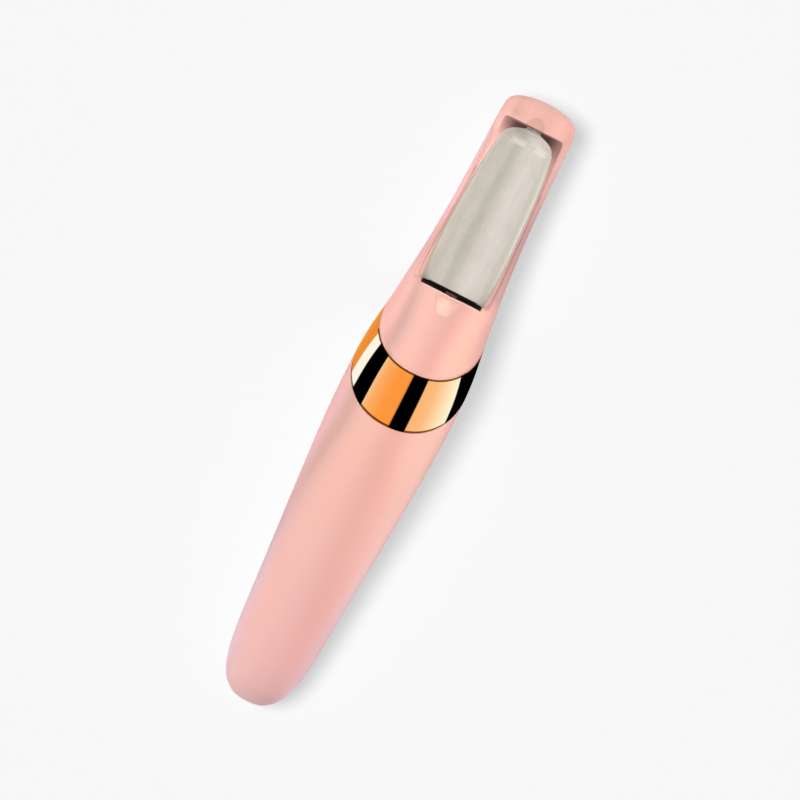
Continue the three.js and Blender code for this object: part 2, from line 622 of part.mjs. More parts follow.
const magnetRing = cut(rod(9.5, [-11, 8], 32), rod(8.1, [-12, 9], 32));
for (const [side, name, magnetX] of [[-1, "left", [-11, -5.2]], [1, "right", [5.2, 11]]]) {
  const magnetArc = magnetRing.intersect(box(magnetX, [-12, 9], span(5.2, AXIS_Z)));
  add(wand, `motor_magnet_${name}`, magnetArc, magnet);
  const terminal = box(span(0.4, side * TERMINAL_X), [-20.6, -14.0], span(1.1, AXIS_Z));
  add(wand, `motor_terminal_${name}`, terminal, copper);
}

const rotor = new THREE.Group();
wand.add(rotor);
const SHAFT_PROFILE = [[0, -17.2], [SHAFT_RADIUS, -17.2], [SHAFT_RADIUS, 21.0], [0, 21.0]];
add(rotor, "motor_shaft", turned(SHAFT_PROFILE, 14), steel);
const slots = [0, 1, 2].map((i) => {
  const slot = new THREE.BoxGeometry(1.6, 30, 12).translate(0, 0, 8.4);
  return solid(slot.rotateY((i * 2 * Math.PI) / 3).translate(0, -1, AXIS_Z));
});
add(rotor, "motor_armature", cut(tube(6.9, SHAFT_BORE, [-8.5, 6.5], 30), ...slots), copper);
add(rotor, "motor_commutator", tube(2.4, SHAFT_BORE, [-14.6, -9.4], 15), copper);

// ---------------------------------------------------------------- battery
const BATTERY_SPOT = [0, BATTERY.z];
const BATTERY_PROFILE = [
  [0, BATTERY.start], [BATTERY.radius, BATTERY.start], [BATTERY.radius, -28.1],
  [2.6, -28.1], [2.6, BATTERY.end], [0, BATTERY.end],
];
add(wand, "battery_cell", turned(BATTERY_PROFILE, 28, BATTERY_SPOT), cellBlue);
const cradleBlock = box(span(9), [-80, -24], [4.5, BATTERY.z - 1.5]);
const cradle = cut(
  rod(8.15, [-78.4, -25.2], 28, BATTERY_SPOT).intersect(cradleBlock),
  rod(BATTERY.radius + 0.2, [-77.2, -26.6], 28, BATTERY_SPOT),
  box(span(3), [-77.1, -36], [0, 8]),
);
add(wand, "battery_cradle", cradle, darkPlastic);
const TAB_Z = [8.9, 15.5];
const tabTrim = rod(6.8, [-27, -26], 20, BATTERY_SPOT);
const positiveTab = box(span(3), [-26.85, -26.7], TAB_Z).intersect(tabTrim);
add(wand, "battery_tab_positive", positiveTab, steel);
add(wand, "battery_tab_negative", box(span(3), [-77.15, -77.05], TAB_Z), steel);

// ---------------------------------------------------------------- boards, switch, port
const boardHoles = BOARD.screwY.map((y) => post(1.0, y, [2, 6], 12));
const mainBoard = cut(box(span(BOARD.halfWidth), BOARD.y, BOARD.z), ...boardHoles);
add(wand, "main_board", mainBoard, boardGreen);
BOARD.screwY.forEach((y, i) => {
  const screw = union(post(0.72, y, [2.35, 4.6], 8), post(1.6, y, [4.35, 4.95], 12));
  add(wand, `board_screw_${i + 1}`, screw, steel);
});
const UNDER_BOARD = 3.2; // top of the parts hanging below the main board
const switchBody = box(span(2.6), span(2.6, BUTTON.y), [2.05, UNDER_BOARD]);
add(wand, "tact_switch", cut(switchBody, post(1.1, BUTTON.y, [1, 2.85])), darkPlastic);
add(wand, "controller_chip", box(span(2.5), [-50, -45], [2.15, UNDER_BOARD]), darkPlastic);
add(wand, "charge_led", box(span(0.8), span(0.8, LIGHT_PIPE.y), [2.7, UNDER_BOARD]), clear);
const lightPipe = post(LIGHT_PIPE.radius, LIGHT_PIPE.y, [0.05, 2.55], 14);
add(wand, "charge_light_pipe", lightPipe, clear);

// The port board is trimmed to the inside of the handle.
const portBoardTrim = shell(
  [-92, -90.6, -88.6, -84.7, -79.1], 32, handleSection, WALL + 0.1,
);
const portBoard = box(span(BOARD.halfWidth), [-90.4, -81.2], [7.3, 8.25]);
add(wand, "port_board", portBoard.intersect(portBoardTrim), boardGreen);
const portShell = box(span(4.45), [-92.2, -85.2], [8.6, 11.8]);
const portCavity = box(span(4.1), [-93, -85.8], [8.9, 11.5]);
add(wand, "charge_port", cut(portShell, portCavity), steel);

// The button cap and the plunger above it travel together into the switch.
const buttonOutline = ellipse(BUTTON.radiusX, BUTTON.radiusY, 28, BUTTON.y);
add(wand, "power_button", plan(buttonOutline, BUTTON.z), gold);
add(wand, "tact_plunger", post(0.95, BUTTON.y, [1.45, 2.3], 14), blackRubber);

// ---------------------------------------------------------------- wiring
// Wire routes are [x, y, z].
const BATTERY_RED_ROUTE = [
  [3.2, -24.2, 4.7], [3.4, -24.3, 7.4], [2.6, -24.4, 10.2], [1.4, -25.2, 12.0],
  [0.9, -26.2, 12.4],
];
const BATTERY_BLACK_ROUTE = [
  [4.75, -75.8, 4.72], [4.9, -78.2, 4.8], [4.7, -79.6, 7.2], [3.2, -79.5, 10.8],
  [1.4, -78.7, 12.2], [0.8, -77.6, 12.6],
];
const MOTOR_RED_ROUTE = [
  [2.8, -20.8, 4.75], [4.2, -22.0, 6.6], [6.1, -22.6, 9.2], [6.3, -21.8, 12.6],
  [6.0, -21.1, 13.6],
];
const MOTOR_BLACK_ROUTE = MOTOR_RED_ROUTE.map(([x, y, z]) => [-x, y, z]);
const LIGHT_ROUTE = [
  [-4.6, -20.7, 4.7], [-9.6, -12, 7.6], [-11.8, 0, 12.5], [-11.4, 9, 18.0],
  [-9.4, 15.5, 20.6], [-6.7, 21, 22.75], [-2.9, 25.2, 23.12], [-0.4, 27.1, 22.2],
];
function addWire(name, route, material, { radius = 0.38, steps = 8 } = {}) {
  const path = new THREE.CatmullRomCurve3(route.map((point) => new THREE.Vector3(...point)));
  add(wand, name, sweep(path, radius, 5, steps), material);
}
addWire("battery_wire_red", BATTERY_RED_ROUTE, redWire);
addWire("battery_wire_black", BATTERY_BLACK_ROUTE, blackWire);
addWire("motor_wire_red", MOTOR_RED_ROUTE, redWire);
addWire("motor_wire_black", MOTOR_BLACK_ROUTE, blackWire);
addWire("work_light_wire", LIGHT_ROUTE, blackWire, { radius: 0.36, steps: 16 });

export default wand;
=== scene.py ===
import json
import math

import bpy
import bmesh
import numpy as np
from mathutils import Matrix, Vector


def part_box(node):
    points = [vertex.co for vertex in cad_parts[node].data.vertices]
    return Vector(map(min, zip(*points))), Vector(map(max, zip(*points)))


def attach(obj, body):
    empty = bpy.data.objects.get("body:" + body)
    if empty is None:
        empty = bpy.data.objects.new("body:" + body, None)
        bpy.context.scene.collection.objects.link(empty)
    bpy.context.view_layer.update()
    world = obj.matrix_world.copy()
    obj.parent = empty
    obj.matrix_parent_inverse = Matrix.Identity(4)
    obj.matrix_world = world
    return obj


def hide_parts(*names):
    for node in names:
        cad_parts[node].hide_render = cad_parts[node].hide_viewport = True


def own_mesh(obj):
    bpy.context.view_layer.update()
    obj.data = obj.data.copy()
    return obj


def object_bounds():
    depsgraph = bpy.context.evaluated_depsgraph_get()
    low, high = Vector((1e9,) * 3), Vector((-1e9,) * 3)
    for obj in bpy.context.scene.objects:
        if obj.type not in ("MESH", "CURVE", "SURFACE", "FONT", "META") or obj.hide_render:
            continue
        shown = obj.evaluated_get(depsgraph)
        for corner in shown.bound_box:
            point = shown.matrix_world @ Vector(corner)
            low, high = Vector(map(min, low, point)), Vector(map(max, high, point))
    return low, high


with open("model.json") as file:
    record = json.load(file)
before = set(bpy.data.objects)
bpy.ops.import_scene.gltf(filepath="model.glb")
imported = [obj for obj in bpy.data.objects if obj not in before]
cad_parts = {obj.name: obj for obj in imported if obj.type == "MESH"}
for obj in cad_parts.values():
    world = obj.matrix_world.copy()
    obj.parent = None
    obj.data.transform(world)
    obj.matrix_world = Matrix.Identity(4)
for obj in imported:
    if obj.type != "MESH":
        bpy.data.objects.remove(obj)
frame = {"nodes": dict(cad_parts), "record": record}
cad_lo, cad_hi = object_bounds()

# A cordless hand tool with an abrasive roller, lying on its back on a pale floor.
# It lies along y: the handle's tail with the charge socket at -y, the roller head's tip at +y.
# Its front faces up (+z), the button is on the underside, and a slanted gold band parts
# handle and head. The roller turns about a line along y at x = 0, z = AXIS_Z.
# Shapes are in millimetres. Materials, floor, lights and camera are in metres.

MM = 0.001


def box_mm(node):
    """Centre, low corner and high corner of a CAD piece."""
    low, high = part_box(node)
    return np.array((low + high) / 2) / MM, np.array(low) / MM, np.array(high) / MM


spindle_low, spindle_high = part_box("drive_spindle")
AXIS_Z = (spindle_low.z + spindle_high.z) / 2 / MM
TAIL_Y = float(cad_lo[1] / MM) + 0.02
BOX_TIP_Y = float(cad_hi[1] / MM)
TIP_Y = BOX_TIP_Y - 0.01


# ------------------------------------------------------------------ smooth tables
class Spline:
    """Natural cubic spline, straight beyond its ends."""

    def __init__(self, points):
        self.x = x = np.array([p[0] for p in points], float)
        self.y = y = np.array([p[1] for p in points], float)
        self.gap = gap = np.diff(x)
        count = len(x)
        system = np.zeros((count, count))
        target = np.zeros(count)
        system[0, 0] = system[-1, -1] = 1
        for i in range(1, count - 1):
            system[i, i - 1 : i + 2] = gap[i - 1], 2 * (gap[i - 1] + gap[i]), gap[i]
            target[i] = 6 * ((y[i + 1] - y[i]) / gap[i] - (y[i] - y[i - 1]) / gap[i - 1])
        self.bend = np.linalg.solve(system, target)

    def __call__(self, at):
        at = np.asarray(at, float)
        x, y, bend, gap = self.x, self.y, self.bend, self.gap
        i = np.clip(np.searchsorted(x, at) - 1, 0, len(x) - 2)
        inside = np.clip(at, x[0], x[-1])
        after, before, step = x[i + 1] - inside, inside - x[i], gap[i]
        value = (
            bend[i] * after**3 / (6 * step)
            + bend[i + 1] * before**3 / (6 * step)
            + (y[i] / step - bend[i] * step / 6) * after
            + (y[i + 1] / step - bend[i + 1] * step / 6) * before
        )
        slope_first = (y[1] - y[0]) / gap[0] - gap[0] * (2 * bend[0] + bend[1]) / 6
        slope_last = (y[-1] - y[-2]) / gap[-1] + gap[-1] * (bend[-2] + 2 * bend[-1]) / 6
        value = value + np.where(at < x[0], slope_first * (at - x[0]), 0)
        return value + np.where(at > x[-1], slope_last * (at - x[-1]), 0)


def squared(points):
    """Spline through the squares of the widths, so that round ends stay round."""
    return Spline([(y, width * width) for y, width in points])


# Every table below starts its rows with the station y.
# Handle and band: half width (kept squared), height of the widest line, and the heights
# above and below that line as shares of the half width.
HANDLE_WIDTH2 = squared([
    (TAIL_Y, 0.0), (-93.1, 4.05), (-91.98, 6.0), (-90.3, 7.85), (-88.06, 9.25), (-84.7, 10.5),
    (-79.1, 11.6), (-70.7, 12.48), (-60, 13.2), (-48, 14.05), (-36, 14.93), (-24, 15.75),
    (-12, 16.45), (-2, 16.74), (5, 16.78), (12, 16.58), (18, 16.02), (24, 15.12), (30, 14.3),
    (38, 13.4), (46, 12.8),
])
HANDLE_MID = Spline([
    (-93.8, 10.91), (-84, 10.91), (-76, 10.95), (-70, 11.15), (-62, 11.65), (-51, 12.35),
    (-40, 13.1), (-28.7, 13.85), (-17.5, 14.55), (-6, 15.05), (3, 15.2), (20, 15.18),
    (32, 14.98), (46, 14.68),
])
HANDLE_UP = Spline([
    (-95, 0.9), (-60, 0.9), (-30, 0.9), (-8, 0.9), (1, 0.9), (9.1, 0.891), (16, 0.856),
    (22, 0.795), (28, 0.706), (33, 0.616), (38, 0.53), (46, 0.446),
])
HANDLE_DOWN = Spline([
    (-95, 0.93), (-60, 0.93), (-30, 0.93), (-8, 0.93), (1, 0.93), (6, 0.932), (12, 0.944),
    (18, 0.972), (24, 1.01), (30, 1.044), (38, 1.08), (46, 1.094),
])
# Head: half width (kept squared), then heights of the widest line, the top and the back.
HEAD_WIDTH2 = squared([
    (-10, 16.45), (0, 16.5), (5, 16.45), (10.5, 16.25), (16, 15.85), (21.7, 15.28),
    (27.3, 14.66), (32.9, 14.06), (38.5, 13.42), (44.1, 12.88), (50, 12.42), (58, 11.9),
    (66.5, 11.56), (75, 11.34), (83.3, 11.14), (87.5, 11.0), (89.2, 10.82), (90.58, 10.35),
    (91.7, 9.4), (92.54, 7.85), (93.1, 6.2), (93.5, 4.3), (TIP_Y, 0.0),
])
HEAD_MID = Spline([
    (-10, 15.25), (0, 15.2), (15, 15.05), (30, 14.75), (45, 14.0), (60, 13.5), (80, 13.15),
    (94, 13.0),
])
HEAD_TOP = Spline([
    (-10, 30.0), (0, 30.1), (5, 30.12), (9.1, 29.88), (16, 28.85), (22, 27.2), (28, 25.15),
    (33, 23.4), (38, 21.85), (44, 20.5), (50, 19.68), (60, 19.05), (70, 18.78), (80, 18.58),
    (86, 18.42), (89, 18.3),
])
HEAD_BACK = Spline([
    (-10, -0.2), (20, -0.15), (30, 0.05), (40, 0.45), (50, 0.85), (60, 1.38), (70, 2.08),
    (80, 3.05), (86, 3.95), (89, 4.7),
])
# Towards the tip: heights above and below the widest line as shares of the half width.
TIP_UP = Spline([
    (86, 0.478), (88, 0.48), (90, 0.487), (91.5, 0.509), (92.5, 0.54), (93.2, 0.585), (94, 0.66),
])
TIP_DOWN = Spline([(86, 0.833), (88, 0.79), (90, 0.76), (92, 0.73), (93, 0.72), (94, 0.74)])
# Half width of the roller recess, and radius of the grit sleeve.
RECESS_WIDTH = Spline([
    (33, 10.72), (36, 10.78), (41.3, 10.78), (46, 10.74), (52, 10.6), (58, 10.37),
    (66.5, 10.02), (75, 9.55), (83.3, 9.14), (86, 9.0),
])
SLEEVE_RADIUS = Spline([
    (34.9, 10.02), (36.5, 10.18), (39, 10.31), (44, 10.38), (48, 10.38), (55.3, 10.19),
    (61, 9.94), (66.5, 9.69), (70.5, 9.4), (74.9, 8.95), (78, 8.45), (80.4, 8.0),
])

# Slanted planes across the body: slope (y lost per z gained), and one point's y and z.
UPPER_EDGE = (1.0, 9.1, 30.2)  # the band's edge towards the head
LOWER_EDGE = (1.16, -7.82, 30.4)  # the band's edge towards the tail
MIDDLE = (0.96, 1.1, 30.3)  # where the parts meet under the band
BAND_GAP = 0.07  # each side of the lower edge
ROUNDNESS = 2.15  # power of the oval sections, 2 being an ellipse


def smooth_max(a, b, blend):
    return np.maximum(a, b) + np.maximum(blend - np.abs(a - b), 0) ** 2 / (4 * blend)


def smooth_min(a, b, blend):
    return -smooth_max(-a, -b, blend)


def smooth_step(value, start, end):
    share = np.clip((value - start) / (end - start), 0, 1)
    return share * share * (3 - 2 * share)


# ------------------------------------------------------------------ mesh helpers
pieces = bpy.data.collections.new("object_pieces")
bpy.context.scene.collection.children.link(pieces)
for cad_piece in frame["nodes"].values():
    pieces.objects.link(cad_piece)


def shade_smooth(mesh):
    mesh.polygons.foreach_set("use_smooth", np.ones(len(mesh.polygons), bool))


def build(name, points, faces, smooth=True, normals=None):
    mesh = bpy.data.meshes.new(name)
    mesh.from_pydata((np.asarray(points, float) * MM).tolist(), [], faces)
    mesh.validate(clean_customdata=False)
    if smooth:
        shade_smooth(mesh)
    mesh.update()
    ob = bpy.data.objects.new(name, mesh)
    pieces.objects.link(ob)
    if normals is not None:
        mesh.normals_split_custom_set_from_vertices(normals.tolist())
    return ob


def apply_modifiers(ob):
    bpy.context.view_layer.update()
    graph = bpy.context.evaluated_depsgraph_get()
    mesh = bpy.data.meshes.new_from_object(
        ob.evaluated_get(graph), preserve_all_data_layers=True, depsgraph=graph
    )
    ob.modifiers.clear()
    ob.data = mesh
    shade_smooth(mesh)


def clean(ob, merge):
    """Merge points closer than `merge`, drop slivers and turn all faces outwards."""
    bm = bmesh.new()
    bm.from_mesh(ob.data)
    bmesh.ops.remove_doubles(bm, verts=bm.verts, dist=merge * MM)
    bmesh.ops.dissolve_degenerate(bm, edges=bm.edges, dist=merge * MM * 0.5)
    bmesh.ops.recalc_face_normals(bm, faces=bm.faces)
    bm.to_mesh(ob.data)
    bm.free()
    return ob


def bevel(ob, width, segments=2):
    """Round every edge sharper than 40 degrees."""
    modifier = ob.modifiers.new("edge", "BEVEL")
    modifier.width = width * MM
    modifier.segments = segments
    modifier.limit_method = "ANGLE"
    modifier.angle_limit = math.radians(40)
    modifier.miter_outer = "MITER_ARC"
    modifier.use_clamp_overlap = True
    apply_modifiers(ob)
    return ob


def weighted(ob):
    modifier = ob.modifiers.new("normals", "WEIGHTED_NORMAL")
    modifier.weight = 50
    modifier.keep_sharp = True
    return ob


def cut_out(ob, cutters):
    for cutter in cutters:
        modifier = ob.modifiers.new("cut", "BOOLEAN")
        modifier.operation = "DIFFERENCE"
        modifier.solver = "EXACT"
        modifier.object = cutter
    apply_modifiers(ob)


def turn(name, profile, place, segments, close=False, flip=False, cap=False):
    """Revolve (radius, station) rows, which place(radius, station, angle) puts in space.

    close joins the last ring to the first, and cap fills the last ring with one face.
    """
    rings, points, faces = [], [], []
    for radius, station in profile:
        count = 1 if radius < 1e-6 else segments
        rings.append(range(len(points), len(points) + count))
        if count == 1:
            radius = 0.0
        for k in range(count):
            points.append(place(radius, station, 2 * math.pi * k / segments))
    pairs = list(zip(rings, rings[1:])) + ([(rings[-1], rings[0])] if close else [])
    for a, b in pairs:
        for k in range(segments):
            k2 = (k + 1) % segments
            if len(a) == 1:
                face = (a[0], b[k], b[k2])
            elif len(b) == 1:
                face = (a[k], b[0], a[k2])
            else:
                face = (a[k], b[k], b[k2], a[k2])
            faces.append(face[:1] + face[:0:-1] if flip else face)
    if cap:
        faces.append(tuple(rings[-1]))
    return clean(build(name, points, faces), 0.0002)


def lathe(name, profile, segments=144, close=False):
    """Turned round the drive axis from (radius, y) points."""

    def place(radius, y, angle):
        return (radius * math.cos(angle), y, AXIS_Z + radius * math.sin(angle))

    return turn(name, profile, place, segments, close=close)


def arc(centre, radius, start, end, count):
    """Points of a circular arc in (radius, y), angles in degrees from the radius direction."""
    angles = [math.radians(a) for a in np.linspace(start, end, count)]
    return [(centre[0] + radius * math.cos(a), centre[1] + radius * math.sin(a)) for a in angles]


def rounded_rectangle(centre_x, centre_y, half_x, half_y, corner, steps):
    points = []
    for side_x, side_y, start in ((1, 1, 0), (-1, 1, 90), (-1, -1, 180), (1, -1, 270)):
        for k in range(steps + 1):
            angle = math.radians(start + 90 * k / steps)
            points.append((
                centre_x + side_x * (half_x - corner) + corner * math.cos(angle),
                centre_y + side_y * (half_y - corner) + corner * math.sin(angle),
            ))
    return points


def oval(centre_x, centre_y, radius_x, radius_y, count):
    angles = [2 * math.pi * k / count for k in range(count)]
    return [
        (centre_x + radius_x * math.cos(a), centre_y + radius_y * math.sin(a)) for a in angles
    ]


def prism(name, outline, start, end, axis="z"):
    """An outline in x and y drawn along z, or one in x and z drawn along y."""
    count = len(outline)
    if axis == "z":
        points = [(x, y, z) for z in (start, end) for x, y in outline]
    else:
        points = [(x, y, z) for y in (start, end) for x, z in outline]
    faces = [tuple(range(count))[::-1], tuple(range(count, 2 * count))]
    for k in range(count):
        k2 = (k + 1) % count
        faces.append((k, k2, count + k2, count + k))
    return clean(build(name, points, faces, smooth=False), 0.0002)


# ------------------------------------------------------------------ handle
port_centre, port_low, port_high = box_mm("charge_port")
button_centre, button_low, button_high = box_mm("power_button")
pipe_centre, pipe_low, pipe_high = box_mm("charge_light_pipe")

SHELL_COLUMNS, SHELL_ROWS, LIP_ROWS = 96, 150, 6
TAIL_CROWDING = 0.07  # smaller draws the rows closer together at the tail
SHELL_WALL = 1.8
LIP_INSET, LIP_INNER_INSET = 1.15, 2.7  # the stepped lip under the band
PORT_OPENING = (4.72, 1.86, 1.8)  # half width, half height, corner
PORT_DISH = (5.1, 2.24, 2.15)
BUTTON_RADII = (3.6, 5.6)
BUTTON_GAP = 0.15
PIPE_HOLE_RADIUS = 1.06
UNDERSIDE_CUT = (-2, 3.2)  # z range of the cuts through the back


def handle_point(y, angle, inset):
    """Point of the handle's section at y, moved in by inset and kept above the floor."""
    width = np.sqrt(np.maximum(HANDLE_WIDTH2(y), 0))
    cosine, sine = np.cos(angle), np.sin(angle)
    share = np.where(sine > 0, HANDLE_UP(y), HANDLE_DOWN(y))
    half_width = np.maximum(width - inset, 0)
    height = np.maximum(share * width - inset, 0)
    power = 2 / ROUNDNESS
    x = half_width * np.sign(cosine) * np.abs(cosine) ** power
    z = HANDLE_MID(y) + height * np.sign(sine) * np.abs(sine) ** power
    above = z - inset - 0.03
    z = inset + 0.03 + 0.5 * (above + np.sqrt(above * above + 0.05)) - 0.02
    return np.stack([x, np.broadcast_to(y, x.shape), z], -1)


def edge_y(angle, inset, plane, shift=0.0):
    """The station where the surface meets a slanted plane moved along y, found by halving."""
    slope, plane_y, plane_z = plane
    low = np.full(np.shape(angle), -60.0)
    high = np.full(np.shape(angle), 60.0)
    for _ in range(46):
        middle = (low + high) / 2
        z = handle_point(middle, angle, inset)[..., 2]
        short = middle + slope * (z - plane_z) - plane_y - shift < 0
        low = np.where(short, middle, low)
        high = np.where(short, high, middle)
    return (low + high) / 2


def handle_half(name, first_angle, last_angle, seam):
    """One half of the handle: outer skin, lip under the band, inner skin and seam faces."""
    angles = first_angle + (last_angle - first_angle) * np.linspace(0, 1, SHELL_COLUMNS)
    steps = np.linspace(0, 1, SHELL_ROWS)
    edge = edge_y(angles, 0.0, LOWER_EDGE, -BAND_GAP)
    outer, inner = [], []
    for share in steps * steps * (1 + TAIL_CROWDING) / (steps + TAIL_CROWDING):
        y = TAIL_Y + (edge - TAIL_Y) * share
        outer.append(handle_point(y, angles, 0.0))
        # the tail wall keeps its thickness
        y_inner = np.maximum(y, TAIL_Y + 1.75 + 6.0 * share * (1 - share) ** 6)
        inner.append(handle_point(np.minimum(y_inner, edge - 0.2), angles, SHELL_WALL))
    lip_start = edge_y(angles, LIP_INSET, LOWER_EDGE, -BAND_GAP)
    lip_end = edge_y(angles, LIP_INSET, MIDDLE, -0.1)
    for i in range(LIP_ROWS):
        y = lip_start + (lip_end - lip_start) * i / (LIP_ROWS - 1)
        outer.append(handle_point(y, angles, LIP_INSET))
        inner.append(handle_point(y + (0.0 if i else -1.2), angles, LIP_INNER_INSET))
    outer, inner = np.array(outer), np.array(inner)
    for skin in (outer, inner):  # the seam stands open by a hair
        for column in (0, -1):
            skin[:, column, 2] += seam
    rows = len(outer)

    def index(side, row, column):
        return side * rows * SHELL_COLUMNS + row * SHELL_COLUMNS + column

    faces = []
    for r in range(rows - 1):
        for c in range(SHELL_COLUMNS - 1):
            for side, ring in (
                (0, ((r, c), (r, c + 1), (r + 1, c + 1), (r + 1, c))),
                (1, ((r, c), (r + 1, c), (r + 1, c + 1), (r, c + 1))),
            ):
                faces.append(tuple(index(side, *cell) for cell in ring))
        for c in (0, SHELL_COLUMNS - 1):
            faces.append((index(0, r, c), index(0, r + 1, c), index(1, r + 1, c), index(1, r, c)))
    r = rows - 1
    for c in range(SHELL_COLUMNS - 1):
        faces.append((index(0, r, c), index(0, r, c + 1), index(1, r, c + 1), index(1, r, c)))
    points = np.concatenate([outer.reshape(-1, 3), inner.reshape(-1, 3)])
    return bevel(clean(build(name, points, faces), 0.02), 0.11)


def port_prism(name, size, start, end, steps=10):
    outline = rounded_rectangle(port_centre[0], port_centre[2], *size, steps)
    return prism(name, outline, start, end, axis="y")


def handle_shells():
    port_cuts = [
        port_prism("cut_port", PORT_OPENING, TAIL_Y - 3, -86.2),
        port_prism("cut_port_dish", PORT_DISH, TAIL_Y - 3, TAIL_Y + 0.95),
    ]
    front = handle_half("handle_front", 0.0, math.pi, 0.045)
    rear = handle_half("handle_rear", -math.pi, 0.0, -0.045)
    cut_out(front, port_cuts)
    button_radii = [radius + BUTTON_GAP for radius in BUTTON_RADII]
    button_oval = oval(button_centre[0], button_centre[1], *button_radii, 96)
    pipe_round = oval(pipe_centre[0], pipe_centre[1], PIPE_HOLE_RADIUS, PIPE_HOLE_RADIUS, 40)
    back_cuts = [
        prism("cut_button", button_oval, *UNDERSIDE_CUT),
        prism("cut_pipe", pipe_round, *UNDERSIDE_CUT),
    ]
    cut_out(rear, port_cuts + back_cuts)
    for cutter in port_cuts + back_cuts:
        bpy.data.objects.remove(cutter)
    return weighted(front), weighted(rear)


def gold_band(columns=256):
    """Closed ring: outer skin, a small step at the head's edge, and an inner skin."""
    angles = np.linspace(-math.pi, math.pi, columns, endpoint=False)
    start, end = edge_y(angles, 0.0, LOWER_EDGE, BAND_GAP), edge_y(angles, 0.0, UPPER_EDGE)
    rows = [handle_point(start + (end - start) * t, angles, 0.0) for t in np.linspace(0, 1, 64)]
    step = edge_y(angles, 0.24, UPPER_EDGE)
    rows.append(handle_point(step, angles, 0.24))
    rows.append(handle_point(step - 0.9, angles, 0.26))
    end = edge_y(angles, 1.0, UPPER_EDGE, -1.6)
    start = edge_y(angles, 1.0, LOWER_EDGE, BAND_GAP)
    rows += [handle_point(start + (end - start) * t, angles, 1.0) for t in np.linspace(1, 0, 16)]
    count = len(rows)

    def index(row, column):
        return (row % count) * columns + column % columns

    faces = [
        (index(r, c), index(r, c + 1), index(r + 1, c + 1), index(r + 1, c))
        for r in range(count) for c in range(columns)
    ]
    ring = build("gold_band_polished", np.array(rows).reshape(-1, 3), faces)
    return weighted(bevel(clean(ring, 0.0005), 0.17, segments=3))


# ------------------------------------------------------------------ head fields
# A field is negative inside its shape and zero on the surface.
RECESS_START_Y, RECESS_END_Y = 33.3, 85.8
# Round holes on the drive axis: radius, start y, end y.
SEAL_SEAT = (8.95, 32.55, 35.0)
SPINDLE_HOLE = (2.4, 29, 35)
PIN_BORE = (1.08, 84, 90.7)
HOLE_BLEND = 0.08
# Ellipsoid scoop on the tip: centre and radius for x, y and z.
SCOOP = ((0.2, 3.2), (85.0, 4.3), (19.3, 1.9))
# Light window: two sides spreading from the tail end.
WINDOW_START_Y, WINDOW_END_Y = 27.2, 32.25
HEAD_GRID, WINDOW_GRID = 0.42, 0.14


def section_field(x, height, width2, up, down, power_up, power_down):
    share = np.where(height > 0, up, down)
    power = np.where(height > 0, power_up, power_down)
    return (np.abs(x) ** power + np.abs(height / share) ** power) ** (2 / power) - width2


def handle_section(x, y, z):
    """Squared-size field of the handle's surface."""
    return section_field(
        x, z - HANDLE_MID(y), HANDLE_WIDTH2(y), HANDLE_UP(y), HANDLE_DOWN(y), ROUNDNESS, ROUNDNESS
    )


def head_section(x, y, z):
    """Squared-size field of the head's own surface, squarer towards the tip."""
    width2 = HEAD_WIDTH2(y)
    width = np.sqrt(np.maximum(width2, 0.5))
    mid = HEAD_MID(y)
    tip = smooth_step(y, 86.0, 88.5)
    tip_y = np.minimum(y, 94.2)
    up = (1 - tip) * (HEAD_TOP(y) - mid) / width + tip * TIP_UP(tip_y)
    down = (1 - tip) * (mid - HEAD_BACK(y)) / width + tip * TIP_DOWN(tip_y)
    power = ROUNDNESS + 0.95 * smooth_step(y, 10, 48)
    return section_field(
        x, z - mid, width2, np.maximum(up, 0.3), np.maximum(down, 0.3),
        power, ROUNDNESS + (power - ROUNDNESS) * 0.45,
    )


def slopes(field, x, y, z, step):
    """A field's value and its slope along each axis."""
    value = field(x, y, z)
    return value, (
        (field(x + step, y, z) - value) / step,
        (field(x, y + step, z) - value) / step,
        (field(x, y, z + step) - value) / step,
    )


def distance(field, x, y, z):
    """First-order distance to a field's zero surface."""
    value, (dx, dy, dz) = slopes(field, x, y, z, 0.02)
    return value / np.maximum(np.sqrt(dx * dx + dy * dy + dz * dz), 4.0)


def plane_distance(plane, y, z, shift=0.0):
    slope, plane_y, plane_z = plane
    return (y + slope * (z - plane_z) - plane_y - shift) / math.sqrt(1 + slope * slope)


def window_outline(x, y, grow):
    side = (np.abs(x) - (1.95 + (y - 27.3) * 0.34) - grow) * 0.94
    start = WINDOW_START_Y - y - grow
    end = y - WINDOW_END_Y - grow
    return np.maximum(smooth_max(side, start, 1.5), end)


def head_skin(x, y, z, handle, past_band):
    """Flush with the band at its edge, taking the head's own sections further on."""
    own = distance(head_section, x, y, z)
    away = smooth_step(past_band, -0.5, 7.5)
    step = 0.27 * (1 - smooth_step(past_band, -0.1, 0.8))
    return smooth_max(handle + (own - handle) * away + step, -z, 0.3)


def roller_recess(x, y, z, radius):
    """Straight sides above the drive axis, half round below it."""
    reach = np.where(z - AXIS_Z > 0, np.abs(x), radius)
    # the shoulder by the shaft seal leaves room for the roller's release, and overhangs it
    lift = 0.76 + 0.42 * smooth_step(radius, 10.12, 10.32)
    start = RECESS_START_Y + lift * smooth_step(reach, 9.28, 9.42) - y
    recess = smooth_max(reach - RECESS_WIDTH(y), start, 1.5)
    return smooth_max(recess, y - RECESS_END_Y, 1.0)


def axis_hole(size, y, radius):
    hole_radius, start, end = size
    return np.maximum(radius - hole_radius, np.maximum(start - y, y - end))


